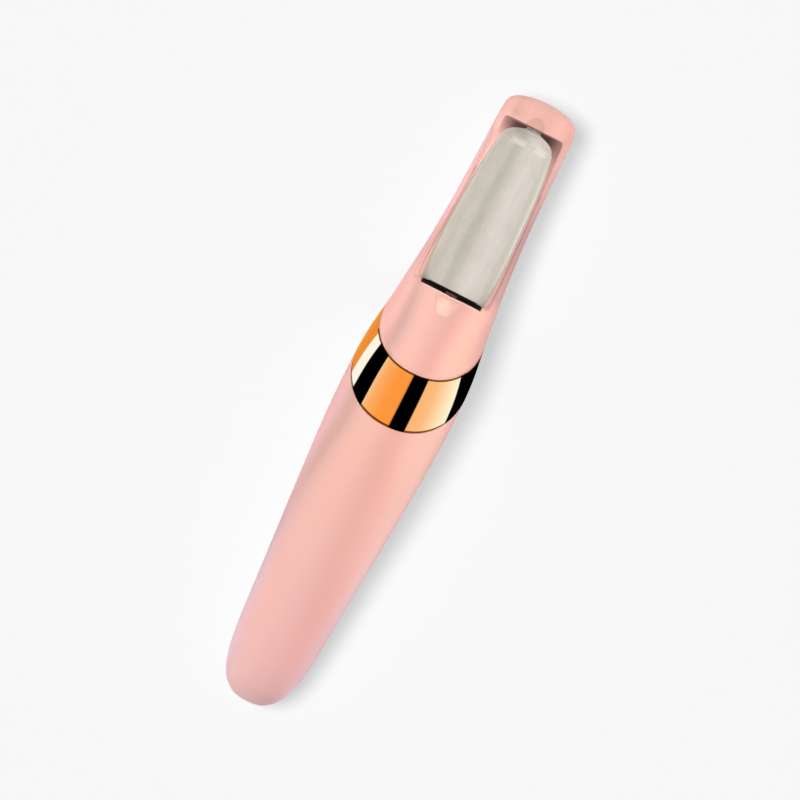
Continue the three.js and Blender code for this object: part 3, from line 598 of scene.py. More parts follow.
def head_field(x, y, z):
    past_band = plane_distance(UPPER_EDGE, y, z)
    handle = distance(handle_section, x, y, z)
    outer = head_skin(x, y, z, handle, past_band)
    # the skin reaches under the band's edge, then steps down to a neck
    skin = smooth_max(outer, -(past_band + 0.55), 0.15)
    neck = smooth_max(handle + 1.2, -plane_distance(MIDDLE, y, z, 0.1), 0.2)
    neck = np.maximum(smooth_max(neck, -z + 1.2, 0.2), y - 40)
    body = smooth_min(skin, np.maximum(neck, outer + 0.55), 0.1)
    # hollow for the gearbox
    hollow = smooth_max(smooth_max(handle + 2.8, y - 30.6, 0.4), outer + 2.2, 0.4)
    body = smooth_max(body, -hollow, 0.2)
    # the recess has its rim rounded most at the corners by the band
    off_axis = z - AXIS_Z
    radius = np.sqrt(x * x + off_axis * off_axis)
    corners = smooth_step(np.abs(x), 6.5, 11.5) * smooth_step(y, 31.5, 34.5)
    rim = 0.4 + 1.7 * (1 - smooth_step(y, 40, 60)) * corners
    body = smooth_max(body, -roller_recess(x, y, z, radius), rim)
    for size in (SEAL_SEAT, SPINDLE_HOLE):
        body = smooth_max(body, -axis_hole(size, y, radius), HOLE_BLEND)
    # pocket of the window, 0.9 deep and only in the front
    pocket = np.maximum(window_outline(x, y, -0.12), -(outer + 0.9))
    body = smooth_max(body, -np.maximum(pocket, 20 - z), 0.12)
    (scoop_x, long_x), (scoop_y, long_y), (scoop_z, long_z) = SCOOP
    scoop = np.sqrt(
        ((x - scoop_x) / long_x) ** 2 + ((y - scoop_y) / long_y) ** 2
        + ((z - scoop_z) / long_z) ** 2
    )
    body = smooth_max(body, -((scoop - 1) * long_z), 0.35)
    return smooth_max(body, -axis_hole(PIN_BORE, y, radius), HOLE_BLEND)


def window_field(x, y, z):
    """A thin plate that bulges a little above the head's skin."""
    outer = distance(head_section, x, y, z)
    bulge = 0.10 * np.clip(1 - ((x / 3.4) ** 2 + ((y - 30.2) / 3.4) ** 2), 0, 1)
    plate = smooth_max(window_outline(x, y, 0.03), outer - 0.035 - bulge, 0.12)
    return smooth_max(plate, -(outer + 0.85), 0.1)


# ------------------------------------------------------------------ meshes from fields
def sample_grid(field, low, high, step):
    """Grid lines, centred in x, and the field's values on them, taken in slabs along y."""
    count = int(math.ceil((high[0] - low[0]) / step)) | 1
    xs = (np.arange(count + 1) - count / 2) * step + (low[0] + high[0]) / 2
    ys = np.arange(low[1], high[1] + step, step)
    zs = np.arange(low[2], high[2] + step, step)
    values = np.empty((len(xs), len(ys), len(zs)), np.float32)
    for j in range(0, len(ys), 24):
        grid = np.meshgrid(xs, ys[j : j + 24], zs, indexing="ij")
        values[:, j : j + 24] = field(*grid)
    return (xs[0], ys[0], zs[0]), values


def crossed_cells(values, corners):
    """Cells the surface passes, and in each the mean of its crossings with the cell's edges."""
    solid = values < 0
    filled = np.zeros(tuple(n - 1 for n in values.shape), np.int8)
    for corner in corners:
        filled += solid[tuple(slice(o, n - 1 + o) for o, n in zip(corner, values.shape))]
    active = (filled > 0) & (filled < 8)
    cells = np.argwhere(active)
    ids = -np.ones(active.shape, np.int64)
    ids[active] = np.arange(len(cells))
    points = np.zeros((len(cells), 3))
    hits = np.zeros(len(cells))

    def at(corner):
        i, j, k = (cells + corner).T
        return values[i, j, k].astype(float)

    for corner in corners:
        for axis in range(3):
            if corner[axis]:
                continue
            other = list(corner)
            other[axis] = 1
            start, end = at(corner), at(other)
            hit = (start < 0) != (end < 0)
            share = np.where(hit, start / np.where(hit, start - end, 1), 0)
            crossing = np.array(corner, float)[None] + np.outer(share, np.eye(3)[axis])
            points[hit] += crossing[hit]
            hits[hit] += 1
    return solid, ids, points / hits[:, None] + cells


def joining_quads(solid, ids):
    """One face round every grid edge that changes sides."""
    quads = []
    for axis in range(3):
        side0, side1 = (axis + 1) % 3, (axis + 2) % 3
        along = np.moveaxis(solid, axis, 0)
        change = np.argwhere(along[:-1] != along[1:])
        # back to x, y, z order
        edges = np.zeros_like(change)
        for i, source in enumerate([axis] + [i for i in range(3) if i != axis]):
            edges[:, source] = change[:, i]
        keep = (edges[:, side0] > 0) & (edges[:, side1] > 0)
        keep &= edges[:, side0] < solid.shape[side0] - 1
        keep &= edges[:, side1] < solid.shape[side1] - 1
        edges = edges[keep]
        corners = []
        for shift0, shift1 in ((-1, -1), (0, -1), (0, 0), (-1, 0)):
            cell = edges.copy()
            cell[:, side0] += shift0
            cell[:, side1] += shift1
            corners.append(ids[cell[:, 0], cell[:, 1], cell[:, 2]])
        quad = np.stack(corners, 1)
        outward = solid[edges[:, 0], edges[:, 1], edges[:, 2]]
        quad[~outward] = quad[~outward][:, ::-1]
        quads.append(quad)
    return np.concatenate(quads)


def implicit(name, field, low, high, step, rounds):
    """Closed quad mesh of a field's zero surface, evened out and moved onto the surface."""
    corners = [(i, j, k) for i in (0, 1) for j in (0, 1) for k in (0, 1)]
    origin, values = sample_grid(field, low, high, step)
    solid, ids, points = crossed_cells(values, corners)
    points = points * step + np.array(origin)
    quads = joining_quads(solid, ids)

    def gradient(at):
        value, parts = slopes(field, at[:, 0], at[:, 1], at[:, 2], 0.01)
        return value, np.stack(parts, 1)

    def project(at, times):
        for _ in range(times):
            value, slope = gradient(at)
            move = slope * (value / np.maximum((slope * slope).sum(1), 0.05))[:, None]
            length = np.linalg.norm(move, axis=1)
            move *= np.minimum(1, 0.4 * step / np.maximum(length, 1e-9))[:, None]
            at = at - move
        return at

    points = project(points, 3)
    following = np.roll(quads, -1, axis=1).ravel()
    current = quads.ravel()
    for _ in range(rounds):
        total = np.zeros_like(points)
        count = np.zeros(len(points))
        np.add.at(total, current, points[following])
        np.add.at(count, current, 1)
        mean = total / np.maximum(count, 1)[:, None]
        points = project(points + 0.5 * (mean - points), 2)
    slope = gradient(points)[1]
    normals = slope / np.maximum(np.linalg.norm(slope, axis=1), 1e-9)[:, None]
    return build(name, points, quads.tolist(), normals=normals)


# ------------------------------------------------------------------ roller
GRAIN_DEPTH = 0.03
SLEEVE_START_RADIUS = 7.9
# Dome outline as (radius, y): the inner rim, the curve to smooth, and the pin socket.
DOME_RIM = [(0, 78.2), (6.8, 78.2), (6.84, 80.42), (7.9, 80.44)]
DOME_CURVE = [
    (7.975, 80.48), (7.87, 80.9), (7.52, 81.5), (7.2, 82.15), (6.72, 82.75), (6.1, 83.28),
    (5.35, 83.74), (4.5, 84.13), (3.7, 84.42), (3.0, 84.66), (2.52, 84.82), (2.24, 84.96),
    (2.1, 85.14), (2.05, 85.3), (2.05, 85.5),
]
DOME_SOCKET = [(1.95, 85.6), (1.25, 85.6), (1.17, 85.52), (1.15, 84.2), (0, 84.2)]


def roughen(ob, start, end):
    """Grains: each point of the grit skin sinks by its own small depth."""
    random = np.random.default_rng(7)
    points = np.empty(len(ob.data.vertices) * 3)
    ob.data.vertices.foreach_get("co", points)
    points = points.reshape(-1, 3)
    x, z = points[:, 0], points[:, 2] - AXIS_Z * MM
    radius = np.sqrt(x * x + z * z)
    skin = radius > SLEEVE_START_RADIUS * MM
    skin &= (points[:, 1] > start * MM) & (points[:, 1] < end * MM)
    sink = np.where(skin, random.random(len(points)) * GRAIN_DEPTH * MM, 0)
    scale = 1 - sink / np.maximum(radius, 1e-6)
    points[:, 0], points[:, 2] = x * scale, AXIS_Z * MM + z * scale
    ob.data.vertices.foreach_set("co", points.ravel())
    ob.data.update()


def grit_sleeve():
    stations = np.concatenate([[35.6, 36.0, 36.4], np.linspace(36.8, 79.9, 108)])
    end_radius = float(SLEEVE_RADIUS(80.3))
    profile = [(SLEEVE_START_RADIUS, 34.95), (9.55, 34.85)]
    profile += arc((9.62, 35.27), 0.42, -90, -8, 7)
    profile += [(float(SLEEVE_RADIUS(y)), float(y)) for y in stations]
    profile += [(end_radius, 80.28)] + arc((end_radius - 0.09, 80.33), 0.09, 0, 90, 4)[1:]
    profile += [(7.0, 80.42), (6.98, 36.0)]
    sleeve = lathe("grit_sleeve", profile, 180, close=True)
    roughen(sleeve, 35.2, 80.25)
    return weighted(sleeve)


def grit_dome():
    curve = np.array(DOME_CURVE)
    lengths = np.linalg.norm(np.diff(curve, axis=0), axis=1)
    along = np.concatenate([[0], np.cumsum(lengths)])
    radius_at = Spline(list(zip(along, curve[:, 0])))
    y_at = Spline(list(zip(along, curve[:, 1])))
    fine = [(float(radius_at(t)), float(y_at(t))) for t in np.linspace(0, along[-1], 34)]
    return weighted(lathe("grit_dome", DOME_RIM + fine + DOME_SOCKET, 168))


def end_flange():
    profile = [(1.98, 34.2), (2.1, 34.15), (8.9, 34.15)]
    profile += arc((8.98, 34.37), 0.22, -90, 0, 5) + arc((8.98, 34.46), 0.22, 0, 90, 5)
    profile += [(7.65, 34.68), (6.84, 35.5), (6.84, 37.6), (1.98, 37.6)]
    return weighted(lathe("roller_end_flange", profile, close=True))


def dust_seal():
    profile = [(1.9, 32.7), (8.7, 32.68)]
    profile += arc((8.7, 32.85), 0.17, -60, 0, 3) + arc((8.7, 33.28), 0.17, 0, 90, 4)
    profile += [(6.2, 33.45), (6.0, 33.38), (3.2, 33.38), (3.0, 33.45), (2.0, 33.45), (1.9, 33.4)]
    return lathe("dust_seal_disc", profile, close=True)


def roller_spring(radius=2.1, wire=0.32, start_y=43.95, length=5.5, turns=4.5, steps=40, sides=12):
    """A round-wire helix about the drive axis, its ends closed."""
    points, faces = [], []
    count = int(turns * steps) + 1
    for i in range(count):
        share = i / (count - 1)
        # the end turns lie close together, as ground ends do
        rise = length * (share - 0.055 * math.sin(2 * math.pi * share))
        angle = 2 * math.pi * turns * share
        for j in range(sides):
            around = 2 * math.pi * j / sides
            out = radius + wire * math.cos(around)
            y = start_y + rise + wire * math.sin(around)
            points.append((out * math.cos(angle), y, AXIS_Z + out * math.sin(angle)))
    for i in range(count - 1):
        for j in range(sides):
            a, b = i * sides, (i + 1) * sides
            j2 = (j + 1) % sides
            faces.append((a + j, b + j, b + j2, a + j2))
    faces.append(tuple(range(sides)))
    faces.append(tuple((count - 1) * sides + j for j in reversed(range(sides))))
    return clean(build("roller_spring_coil", points, faces), 0.0002)


# ------------------------------------------------------------------ button, light pipe, port
# Button: share of the full radii, and height above its outer face.
BUTTON_RINGS = [
    (0.0, 0.26), (0.25, 0.25), (0.5, 0.2), (0.7, 0.12), (0.83, 0.045), (0.9, 0.012),
    (0.945, 0.0), (0.975, 0.03), (0.993, 0.1), (1.0, 0.2),
]
# Light pipe: radius, and height above its outer face.
PIPE_RINGS = [(0, 0), (0.4, 0.01), (0.75, 0.04), (0.9, 0.1), (0.96, 0.2)]
PIPE_RADIUS = 0.97


def button_cap():
    depth = button_high[2] - button_low[2]
    rings = [(share, button_low[2] + z) for share, z in BUTTON_RINGS + [(1.0, depth)]]

    def place(share, z, angle):
        return (
            button_centre[0] + BUTTON_RADII[0] * share * math.cos(angle),
            button_centre[1] + BUTTON_RADII[1] * share * math.sin(angle),
            z,
        )

    return weighted(turn("power_button_cap", rings, place, 112, flip=True, cap=True))


def charge_light():
    rings = [(radius, pipe_low[2] + z) for radius, z in PIPE_RINGS]
    rings += [(PIPE_RADIUS, pipe_high[2]), (0, pipe_high[2])]

    def place(radius, z, angle):
        return (
            pipe_centre[0] + radius * math.cos(angle),
            pipe_centre[1] + radius * math.sin(angle),
            z,
        )

    return turn("charge_light_window", rings, place, 64, flip=True)


def charge_socket():
    """The plug socket's folded steel shell: a stadium tube with a closed back."""
    mouth, back = port_low[1], port_high[1]
    loops = [  # half width, half height, corner, y
        (4.36, 1.52, 1.5, mouth), (4.43, 1.59, 1.57, mouth + 0.08), (4.43, 1.59, 1.57, back),
        (4.1, 1.28, 1.26, back - 0.6), (4.1, 1.28, 1.26, mouth + 0.08),
        (4.16, 1.33, 1.31, mouth),
    ]
    points, faces = [], []
    for *size, y in loops:
        outline = rounded_rectangle(port_centre[0], port_centre[2], *size, 14)
        points += [(x, y, z) for x, z in outline]
    count = len(outline)
    for i in (0, 1, 3, 4, 5):
        a, b = i * count, (i + 1) % len(loops) * count
        for k in range(count):
            k2 = (k + 1) % count
            faces.append((a + k, b + k, b + k2, a + k2))
    # loops 2 and 3 are closed by the two faces of the back wall
    faces.append(tuple(range(2 * count, 3 * count)))
    faces.append(tuple(range(3 * count, 4 * count))[::-1])
    return weighted(clean(build("charge_socket", points, faces), 0.0005))


def socket_tongue():
    start, end = port_low[1] + 0.7, port_high[1] - 0.9
    return bevel(port_prism("charge_socket_tongue", (3.3, 0.34, 0.3), start, end, steps=4), 0.06)


handle_front, handle_rear = handle_shells()
band = gold_band()
head = implicit(
    "head_moulding", head_field, (-16.8, 1.0, -0.6), (16.8, BOX_TIP_Y + 0.7, 31.2),
    HEAD_GRID, rounds=3,
)
window = implicit(
    "work_light_window", window_field, (-4.6, 26.6, 21.6), (4.6, 33.0, 26.6),
    WINDOW_GRID, rounds=2,
)
sleeve = grit_sleeve()
dome = grit_dome()
flange = end_flange()
seal = dust_seal()
button = button_cap()
light_pipe = charge_light()
socket = charge_socket()
tongue = socket_tongue()
spring = roller_spring()


# ------------------------------------------------------------------ node helpers
class Nodes:
    """Short calls for the nodes of one tree. Values may be numbers, tuples or sockets."""

    def __init__(self, tree):
        self.tree = tree
        tree.nodes.clear()

    def feed(self, socket, value):
        if isinstance(value, (int, float)):
            socket.default_value = value
        elif isinstance(value, tuple):
            socket.default_value = (*value, 1) if socket.type == "RGBA" else value
        else:
            self.tree.links.new(value, socket)

    def node(self, kind, inputs=None, **settings):
        node = self.tree.nodes.new("ShaderNode" + kind)
        for name, value in settings.items():
            setattr(node, name, value)
        for name, value in (inputs or {}).items():
            self.feed(node.inputs[name], value)
        return node

    def split(self, vector):
        return tuple(self.node("SeparateXYZ", {0: vector}).outputs)

    def calc(self, operation, *values, clamp=False):
        inputs = dict(enumerate(values))
        return self.node("Math", inputs, operation=operation, use_clamp=clamp).outputs[0]

    def product(self, first, *others):
        for other in others:
            first = self.calc("MULTIPLY", first, other)
        return first

    def squares(self, a, b):
        return self.calc("ADD", self.product(a, a), self.product(b, b))

    def span(self, value, over, to=(0, 1)):
        """Carry the range `over` to the range `to`, held at its ends."""
        return self.node("MapRange", dict(enumerate((value, *over, *to)))).outputs[0]

    def fade(self, value, over):
        return self.span(value, over, to=(1, 0))

    def stretch_of(self, value, rise, fall):
        """One between rise and fall, zero beyond them."""
        return self.product(self.span(value, rise), self.fade(value, fall))

    def ramp(self, value, stops, mode="LINEAR"):
        node = self.node("ValToRGB", {0: value})
        node.color_ramp.interpolation = mode
        elements = node.color_ramp.elements
        while len(elements) > 1:
            elements.remove(elements[-1])
        elements[0].position, elements[0].color = stops[0][0], (*stops[0][1], 1)
        for position, colour in stops[1:]:
            elements.new(position).color = (*colour, 1)
        return node.outputs[0]

    def grey_ramp(self, value, stops):
        return self.ramp(value, [(position, (grey,) * 3) for position, grey in stops])

    def mix(self, share, a, b, mode="MIX"):
        inputs = {0: share, 6: a, 7: b}
        return self.node("Mix", inputs, data_type="RGBA", blend_type=mode).outputs[2]

    def tint(self, colour, by, where=None):
        """Multiply a colour, only as far as `where` says if that is given."""
        tinted = self.mix(1.0, colour, by, "MULTIPLY")
        return tinted if where is None else self.mix(where, colour, tinted)


class Material(Nodes):
    def __init__(self, name, colour, roughness=0.5, metallic=0.0, **inputs):
        self.data = bpy.data.materials.new(name)
        self.data.use_nodes = True
        super().__init__(self.data.node_tree)
        output = self.node("OutputMaterial")
        self.shader = self.node("BsdfPrincipled")
        self.feed(output.inputs[0], self.shader.outputs[0])
        self.set(Base_Color=colour, Roughness=roughness, Metallic=metallic, **inputs)
        self.data.diffuse_color = (*colour, 1)

    def set(self, **inputs):
        for name, value in inputs.items():
            self.feed(self.shader.inputs[name.replace("_", " ")], value)

    def texture(self, kind, inputs, stretch=(1, 1, 1), **settings):
        coords = self.node("TexCoord").outputs["Object"]
        mapping = self.node("Mapping", {"Vector": coords, "Scale": stretch})
        return self.node(kind, {**inputs, "Vector": mapping.outputs[0]}, **settings)

    def noise(self, scale, detail=2.0, roughness=0.5, stretch=(1, 1, 1), distortion=0.0):
        inputs = {
            "Scale": scale, "Detail": detail, "Roughness": roughness, "Distortion": distortion,
        }
        return self.texture("TexNoise", inputs, stretch).outputs[0]

    def speckle(self, to=(0, 1), over=(0.3, 0.7), **noise):
        return self.span(self.noise(**noise), over, to)

    def scaled(self, colour, factor):
        return self.node("VectorMath", {0: colour, "Scale": factor}, operation="SCALE").outputs[0]

    def bump(self, height, strength, distance, normal=None):
        inputs = {"Strength": strength, "Distance": distance, "Height": height}
        if normal is not None:
            inputs["Normal"] = normal
        return self.node("Bump", inputs).outputs[0]

    def rounded(self, radius):
        return self.node("Bevel", {"Radius": radius}, samples=4).outputs[0]


def srgb(*levels, gain=1.0):
    """Linear colour from 0..255 display levels, on the curve's power part."""
    return tuple(gain * ((level / 255 + 0.055) / 1.055) ** 2.4 for level in levels)


def shades(colour, gain, lift=0.0):
    return tuple(part * gain + lift for part in colour)


# ------------------------------------------------------------------ pearl lacquer
PEARL_GAIN = 0.96
# Painted light and shade by the direction it faces round the long axis, in degrees from straight up.
PEARL_PAINTED_LIGHT = [
    (-90, (246, 184, 184)), (-75, (249, 190, 188)), (-59, (245, 190, 183)),
    (-44, (229, 179, 169)), (-36, (228, 178, 165)), (-27, (243, 191, 178)),
    (-18, (252, 195, 179)), (-10, (252, 195, 179)), (-4, (250, 193, 177)), (0, (245, 188, 174)),
    (5, (241, 182, 167)), (10, (242, 181, 166)), (18, (248, 187, 172)), (25, (253, 194, 178)),
    (33, (254, 198, 181)), (50, (255, 198, 181)), (60, (253, 197, 180)), (75, (249, 192, 179)),
    (90, (246, 186, 178)),
]
PEARL_PLAIN = (248, 191, 177)
# How far the painted light and shade spreads round the body: y in millimetres, factor.
PEARL_SPREAD = [
    (-94, 4.0), (-79, 3.9), (-62, 2.8), (-45.5, 2.0), (-28.7, 1.5), (-12, 1.0), (5, 0.9),
    (17, 0.72), (30, 0.56), (60, 0.7), (80, 1.2), (86, 4.0), (94, 4.0),
]
SPREAD_TOP = 4.0
# Ramp position along the handle, tint.
TAIL_TINT = [
    (0.0, (0.95, 0.955, 1.06)), (0.12, (0.962, 0.965, 1.07)), (0.39, (0.985, 0.985, 1.055)),
    (0.52, (0.985, 0.98, 1.015)), (0.66, (1.0, 1.0, 1.0)), (1.0, (1.01, 1.02, 1.04)),
]
# Tip of the head, painted shade: ramp position across it and brightness, then position along it and
# share.
TIP_ACROSS = [
    (0.0, 1.02), (0.11, 1.03), (0.18, 0.83), (0.235, 0.90), (0.28, 0.93), (0.36, 1.0),
    (0.5, 0.955), (0.57, 0.91), (0.65, 0.94), (0.73, 1.03), (0.80, 1.07), (0.86, 1.02),
    (0.93, 0.90), (1.0, 0.86),
]
TIP_ALONG = [(0.0, 0), (0.2, 0.6), (0.32, 1), (0.55, 0.85), (0.8, 0.4), (1.0, 0.3)]
# Painted light and shade across the neck of the head, lighter on the left and darker on the right: x
# as a share of the half width, tint.
NECK_PAINTED_LIGHT = [
    (-1.0, (1.10, 1.12, 1.0)), (-0.85, (1.11, 1.12, 1.0)), (-0.72, (1.11, 1.07, 1.03)),
    (-0.6, (1.05, 1.01, 1.02)), (-0.5, (0.97, 0.97, 0.99)), (-0.38, (1.0, 1.0, 1.03)),
    (-0.24, (1.015, 1.01, 1.03)), (0.0, (1.0, 0.99, 0.99)), (0.13, (1.0, 0.98, 1.0)),
    (0.26, (1.0, 0.965, 0.99)), (0.4, (1.0, 0.99, 0.975)), (0.55, (0.99, 0.985, 0.95)),
    (0.7, (0.98, 0.95, 0.90)), (0.85, (0.95, 0.92, 0.87)), (1.0, (0.92, 0.92, 0.87)),
]
# Tint from facing the viewer (0) to edge on (1).
GRAZING_TINT = [
    (0.0, (1, 1, 1)), (0.72, (1, 1, 1)), (0.9, (1.01, 0.965, 1.03)), (1.0, (1.02, 0.93, 1.08)),
]
# Ramp position along the recess: shade on its right rim, then glow inside it.
RIM_SHADE = [(0.0, 0), (0.10, 0.75), (0.45, 1), (0.7, 0.6), (0.93, 0.35), (1.0, 0)]
RECESS_GLOW = [(0.0, 0.32), (0.14, 0.40), (0.39, 0.68), (0.64, 0.66), (0.80, 0.42), (1.0, 0.25)]
# Distance from the middle in tenths of a metre divided by ten, darkness behind the dome.
DEEP_SHADE = [(0.0, 0.97), (0.5, 0.9), (0.62, 0.72), (0.74, 0.45), (0.85, 0.2), (0.93, 0)]
RECESS_TAPER = 0.037  # the recess edge's x lost per y


def relative(mat, value, centre, radius):
    return mat.calc("MULTIPLY_ADD", value, 1 / radius, -centre / radius)


def recess_edge(mat, y, start):
    return mat.calc("SUBTRACT", start, mat.calc("MULTIPLY", y, RECESS_TAPER))


def pearl_painted_light(mat, facing, place):
    """Painted light and shade on the lacquer by direction and station, with plain ends and back."""
    y = place[1]
    low, high = PEARL_SPREAD[0][0], PEARL_SPREAD[-1][0]
    spread_stops = [((at - low) / (high - low), v / SPREAD_TOP) for at, v in PEARL_SPREAD]
    painted_light_stops = [((at + 90) / 180, srgb(*c, gain=PEARL_GAIN)) for at, c in PEARL_PAINTED_LIGHT]
    # painted light and shade: the lacquer's colour follows the direction it faces, standing in for
    # the strips' soft reflection
    angle = mat.calc("ARCTAN2", facing[0], facing[2])
    spread = mat.grey_ramp(mat.span(y, over=(low * MM, high * MM)), spread_stops)
    spread = mat.product(spread, SPREAD_TOP)
    lookup = mat.span(mat.calc("DIVIDE", angle, spread), over=(-math.pi / 2, math.pi / 2))
    ends = mat.calc(
        "MAXIMUM",
        mat.span(mat.calc("ABSOLUTE", facing[1]), over=(0.6, 0.92)),
        mat.span(facing[2], over=(-0.15, -0.75)),
    )
    tone = mat.mix(ends, mat.ramp(lookup, painted_light_stops), srgb(*PEARL_PLAIN, gain=PEARL_GAIN))
    return mat.tint(tone, mat.ramp(mat.span(y, over=(-0.094, 0.03)), TAIL_TINT))


def pearl_tints(mat, colour, facing, place):
    """Painted shade across the tip, painted light and shade across the neck, a grazing tint, clouds
    and flakes.
    """
    x, y = place[:2]
    # painted shade on the tip's top face, in steps across it
    tip_painted_shade = mat.grey_ramp(mat.span(x, over=(-0.011, 0.011)), TIP_ACROSS)
    tip = mat.product(
        mat.grey_ramp(mat.span(y, over=(0.084, 0.094)), TIP_ALONG),
        mat.span(facing[2], over=(0.3, 0.75)),
    )
    colour = mat.tint(colour, tip_painted_shade, where=tip)
    # half width = 0.01667 - 0.083 y
    half_width = mat.calc("MULTIPLY_ADD", y, -0.083, 0.01667)
    across = mat.span(mat.calc("DIVIDE", x, half_width), over=(-1, 1))
    neck = mat.product(
        mat.stretch_of(y, rise=(0.006, 0.013), fall=(0.033, 0.040)),
        mat.span(facing[2], over=(-0.1, 0.1)),
    )
    # painted light and shade: the neck is lit on its left side and shaded on its right
    neck_painted_light = mat.ramp(across, [((at + 1) / 2, tint) for at, tint in NECK_PAINTED_LIGHT])
    colour = mat.tint(colour, neck_painted_light, where=neck)
    grazing = mat.node("LayerWeight", {"Blend": 0.5}).outputs["Facing"]
    colour = mat.tint(colour, mat.ramp(grazing, GRAZING_TINT))
    cloud = mat.speckle(scale=34, to=(0.99, 1.01))
    flake = mat.speckle(scale=5200, detail=1, over=(0.35, 0.65), to=(0.985, 1.015))
    return mat.scaled(colour, mat.product(cloud, flake))


def pearl_rims(mat, colour, facing, place):
    """Shade and light on the edges round the roller, and shade in the tip's scoop."""
    x, y, z = place
    # the rim to the right (+x) of the roller is shaded
    edge = mat.calc("SUBTRACT", x, recess_edge(mat, y, 0.0121))
    shaded = mat.product(
        mat.grey_ramp(mat.span(y, over=(0.033, 0.087)), RIM_SHADE),
        mat.stretch_of(edge, rise=(-0.0006, -0.0002), fall=(0.0020, 0.0042)),
        mat.span(facing[2], over=(0.0, 0.3)),
    )
    colour = mat.mix(shaded, colour, (0.545, 0.305, 0.30))
    # and the left one is lit
    edge = mat.calc("SUBTRACT", mat.product(x, -1.0), recess_edge(mat, y, 0.0121))
    lit = mat.product(
        mat.span(edge, over=(-0.0006, -0.0002)),
        mat.span(y, over=(0.046, 0.058)),
        mat.fade(y, over=(0.082, 0.087)),
        mat.span(facing[2], over=(0.0, 0.3)),
    )
    colour = mat.tint(colour, (1.14, 1.15, 1.2), where=lit)
    scoop = mat.squares(mat.product(x, 1 / 0.0030), relative(mat, y, centre=0.0852, radius=0.0040))
    scoop = mat.product(
        mat.span(scoop, over=(0.75, 1.1), to=(0.8, 0.0)), mat.span(z, over=(0.0145, 0.0155))
    )
    colour = mat.mix(scoop, colour, (0.72, 0.395, 0.335))
    # the edge on the roller's tail side catches the light
    sill = mat.product(
        mat.stretch_of(y, rise=(0.0328, 0.0330), fall=(0.0334, 0.0336)),
        mat.fade(mat.calc("ABSOLUTE", x), over=(0.0085, 0.0095)),
        mat.span(z, over=(0.020, 0.021), to=(0, 0.7)),
    )
    return mat.mix(sill, colour, (1.0, 0.72, 0.64))


def pearl_recess(mat, colour, facing, place):
    """Colour inside the recess, and the strength of the glow that stands for light there."""
    x, y, z = place
    wall = mat.calc("SUBTRACT", recess_edge(mat, y, 0.01225), mat.calc("ABSOLUTE", x))
    inside = mat.product(
        mat.span(wall, over=(-0.0002, 0.0001)),
        mat.fade(z, over=(0.0165, 0.0205)),
        mat.span(facing[2], over=(-0.3, -0.1)),
    )
    # painted shade: the pocket at the dome's tip is darkest
    deep = mat.product(
        inside,
        mat.stretch_of(y, rise=(0.0800, 0.0842), fall=(0.0857, 0.0860)),
        mat.grey_ramp(mat.product(mat.calc("ABSOLUTE", x), 100.0), DEEP_SHADE),
    )
    # painted shade: the shaded inside of the recess is tinted cooler
    cool = mat.product(inside, mat.fade(y, over=(0.0857, 0.0860)))
    colour = mat.tint(colour, (0.95, 1.04, 1.13), where=cool)
    # painted shade: the gap by the seal is painted nearly black
    gap = mat.product(
        mat.stretch_of(y, rise=(0.0332, 0.0333), fall=(0.0342, 0.0347)),
        mat.fade(mat.calc("ABSOLUTE", x), over=(0.0094, 0.0098)),
        mat.fade(z, over=(0.0185, 0.0205)),
    )
    colour = mat.mix(gap, mat.mix(deep, colour, (0.10, 0.065, 0.05)), (0.012, 0.010, 0.010))

    pin = mat.product(
        mat.fade(mat.calc("ABSOLUTE", x), over=(0.0025, 0.0070)),
        mat.span(y, over=(0.082, 0.0845)),
    )
    dark = mat.calc("MAXIMUM", mat.product(pin, 0.85), mat.product(deep, 0.95))
    left = mat.span(x, over=(-0.004, 0.004), to=(1.25, 0.0))
    right_side = mat.product(
        mat.span(x, over=(-0.004, 0.004)), mat.span(y, over=(0.058, 0.072), to=(0.9, 0.35))
    )
    strength = mat.product(
        mat.product(
            mat.span(y, over=(0.0346, 0.0352)),
            mat.span(y, over=(0.0850, 0.0860), to=(1, 0.25)),
        ),
        mat.calc("SUBTRACT", 1.0, dark),
        mat.calc("ADD", left, right_side),
        mat.fade(y, over=(0.0866, 0.0872)),
    )
    along = mat.grey_ramp(mat.span(y, over=(0.034, 0.090)), RECESS_GLOW)
    return colour, mat.product(mat.product(inside, strength), along)


def pearl():
    mat = Material(
        "pearl_pink_lacquer", (0.9, 0.52, 0.45), roughness=0.42,
        Coat_Weight=0.05, Coat_Roughness=0.25, Specular_IOR_Level=0.18,
    )
    geometry = mat.node("NewGeometry")
    facing = mat.split(geometry.outputs["Normal"])
    place = mat.split(geometry.outputs["Position"])
    colour = pearl_painted_light(mat, facing, place)
    colour = pearl_tints(mat, colour, facing, place)
    colour = pearl_rims(mat, colour, facing, place)
    # what the underside sends to the floor is kept grey
    bounced = mat.node("LightPath").outputs["Is Diffuse Ray"]
    underside = mat.product(bounced, mat.fade(facing[2], over=(0.25, 0.75)))
    colour = mat.mix(underside, colour, (0.26, 0.27, 0.275))
    colour, glow = pearl_recess(mat, colour, facing, place)
    peel = mat.bump(
        mat.noise(scale=420, roughness=0.45), strength=0.05, distance=0.00004,
        normal=mat.rounded(radius=0.00012),
    )
    fine = mat.noise(scale=2600, detail=1)
    mat.set(
        Base_Color=colour,
        Emission_Color=srgb(224, 179, 176),
        Emission_Strength=glow,
        Roughness=mat.speckle(scale=900, roughness=0.6, to=(0.39, 0.46)),
        Normal=mat.bump(fine, strength=0.04, distance=0.00001, normal=peel),
    )
    return mat


# ------------------------------------------------------------------ other materials
GOLD = (1.0, 0.58, 0.26)
# Painted dark reflection lines (beads) along the band's slanted edges: plane, side, and the fade of
# their width.
BEADS = [(UPPER_EDGE, -1, (0.00021, 0.00028)), (LOWER_EDGE, 1, (0.00048, 0.00057))]


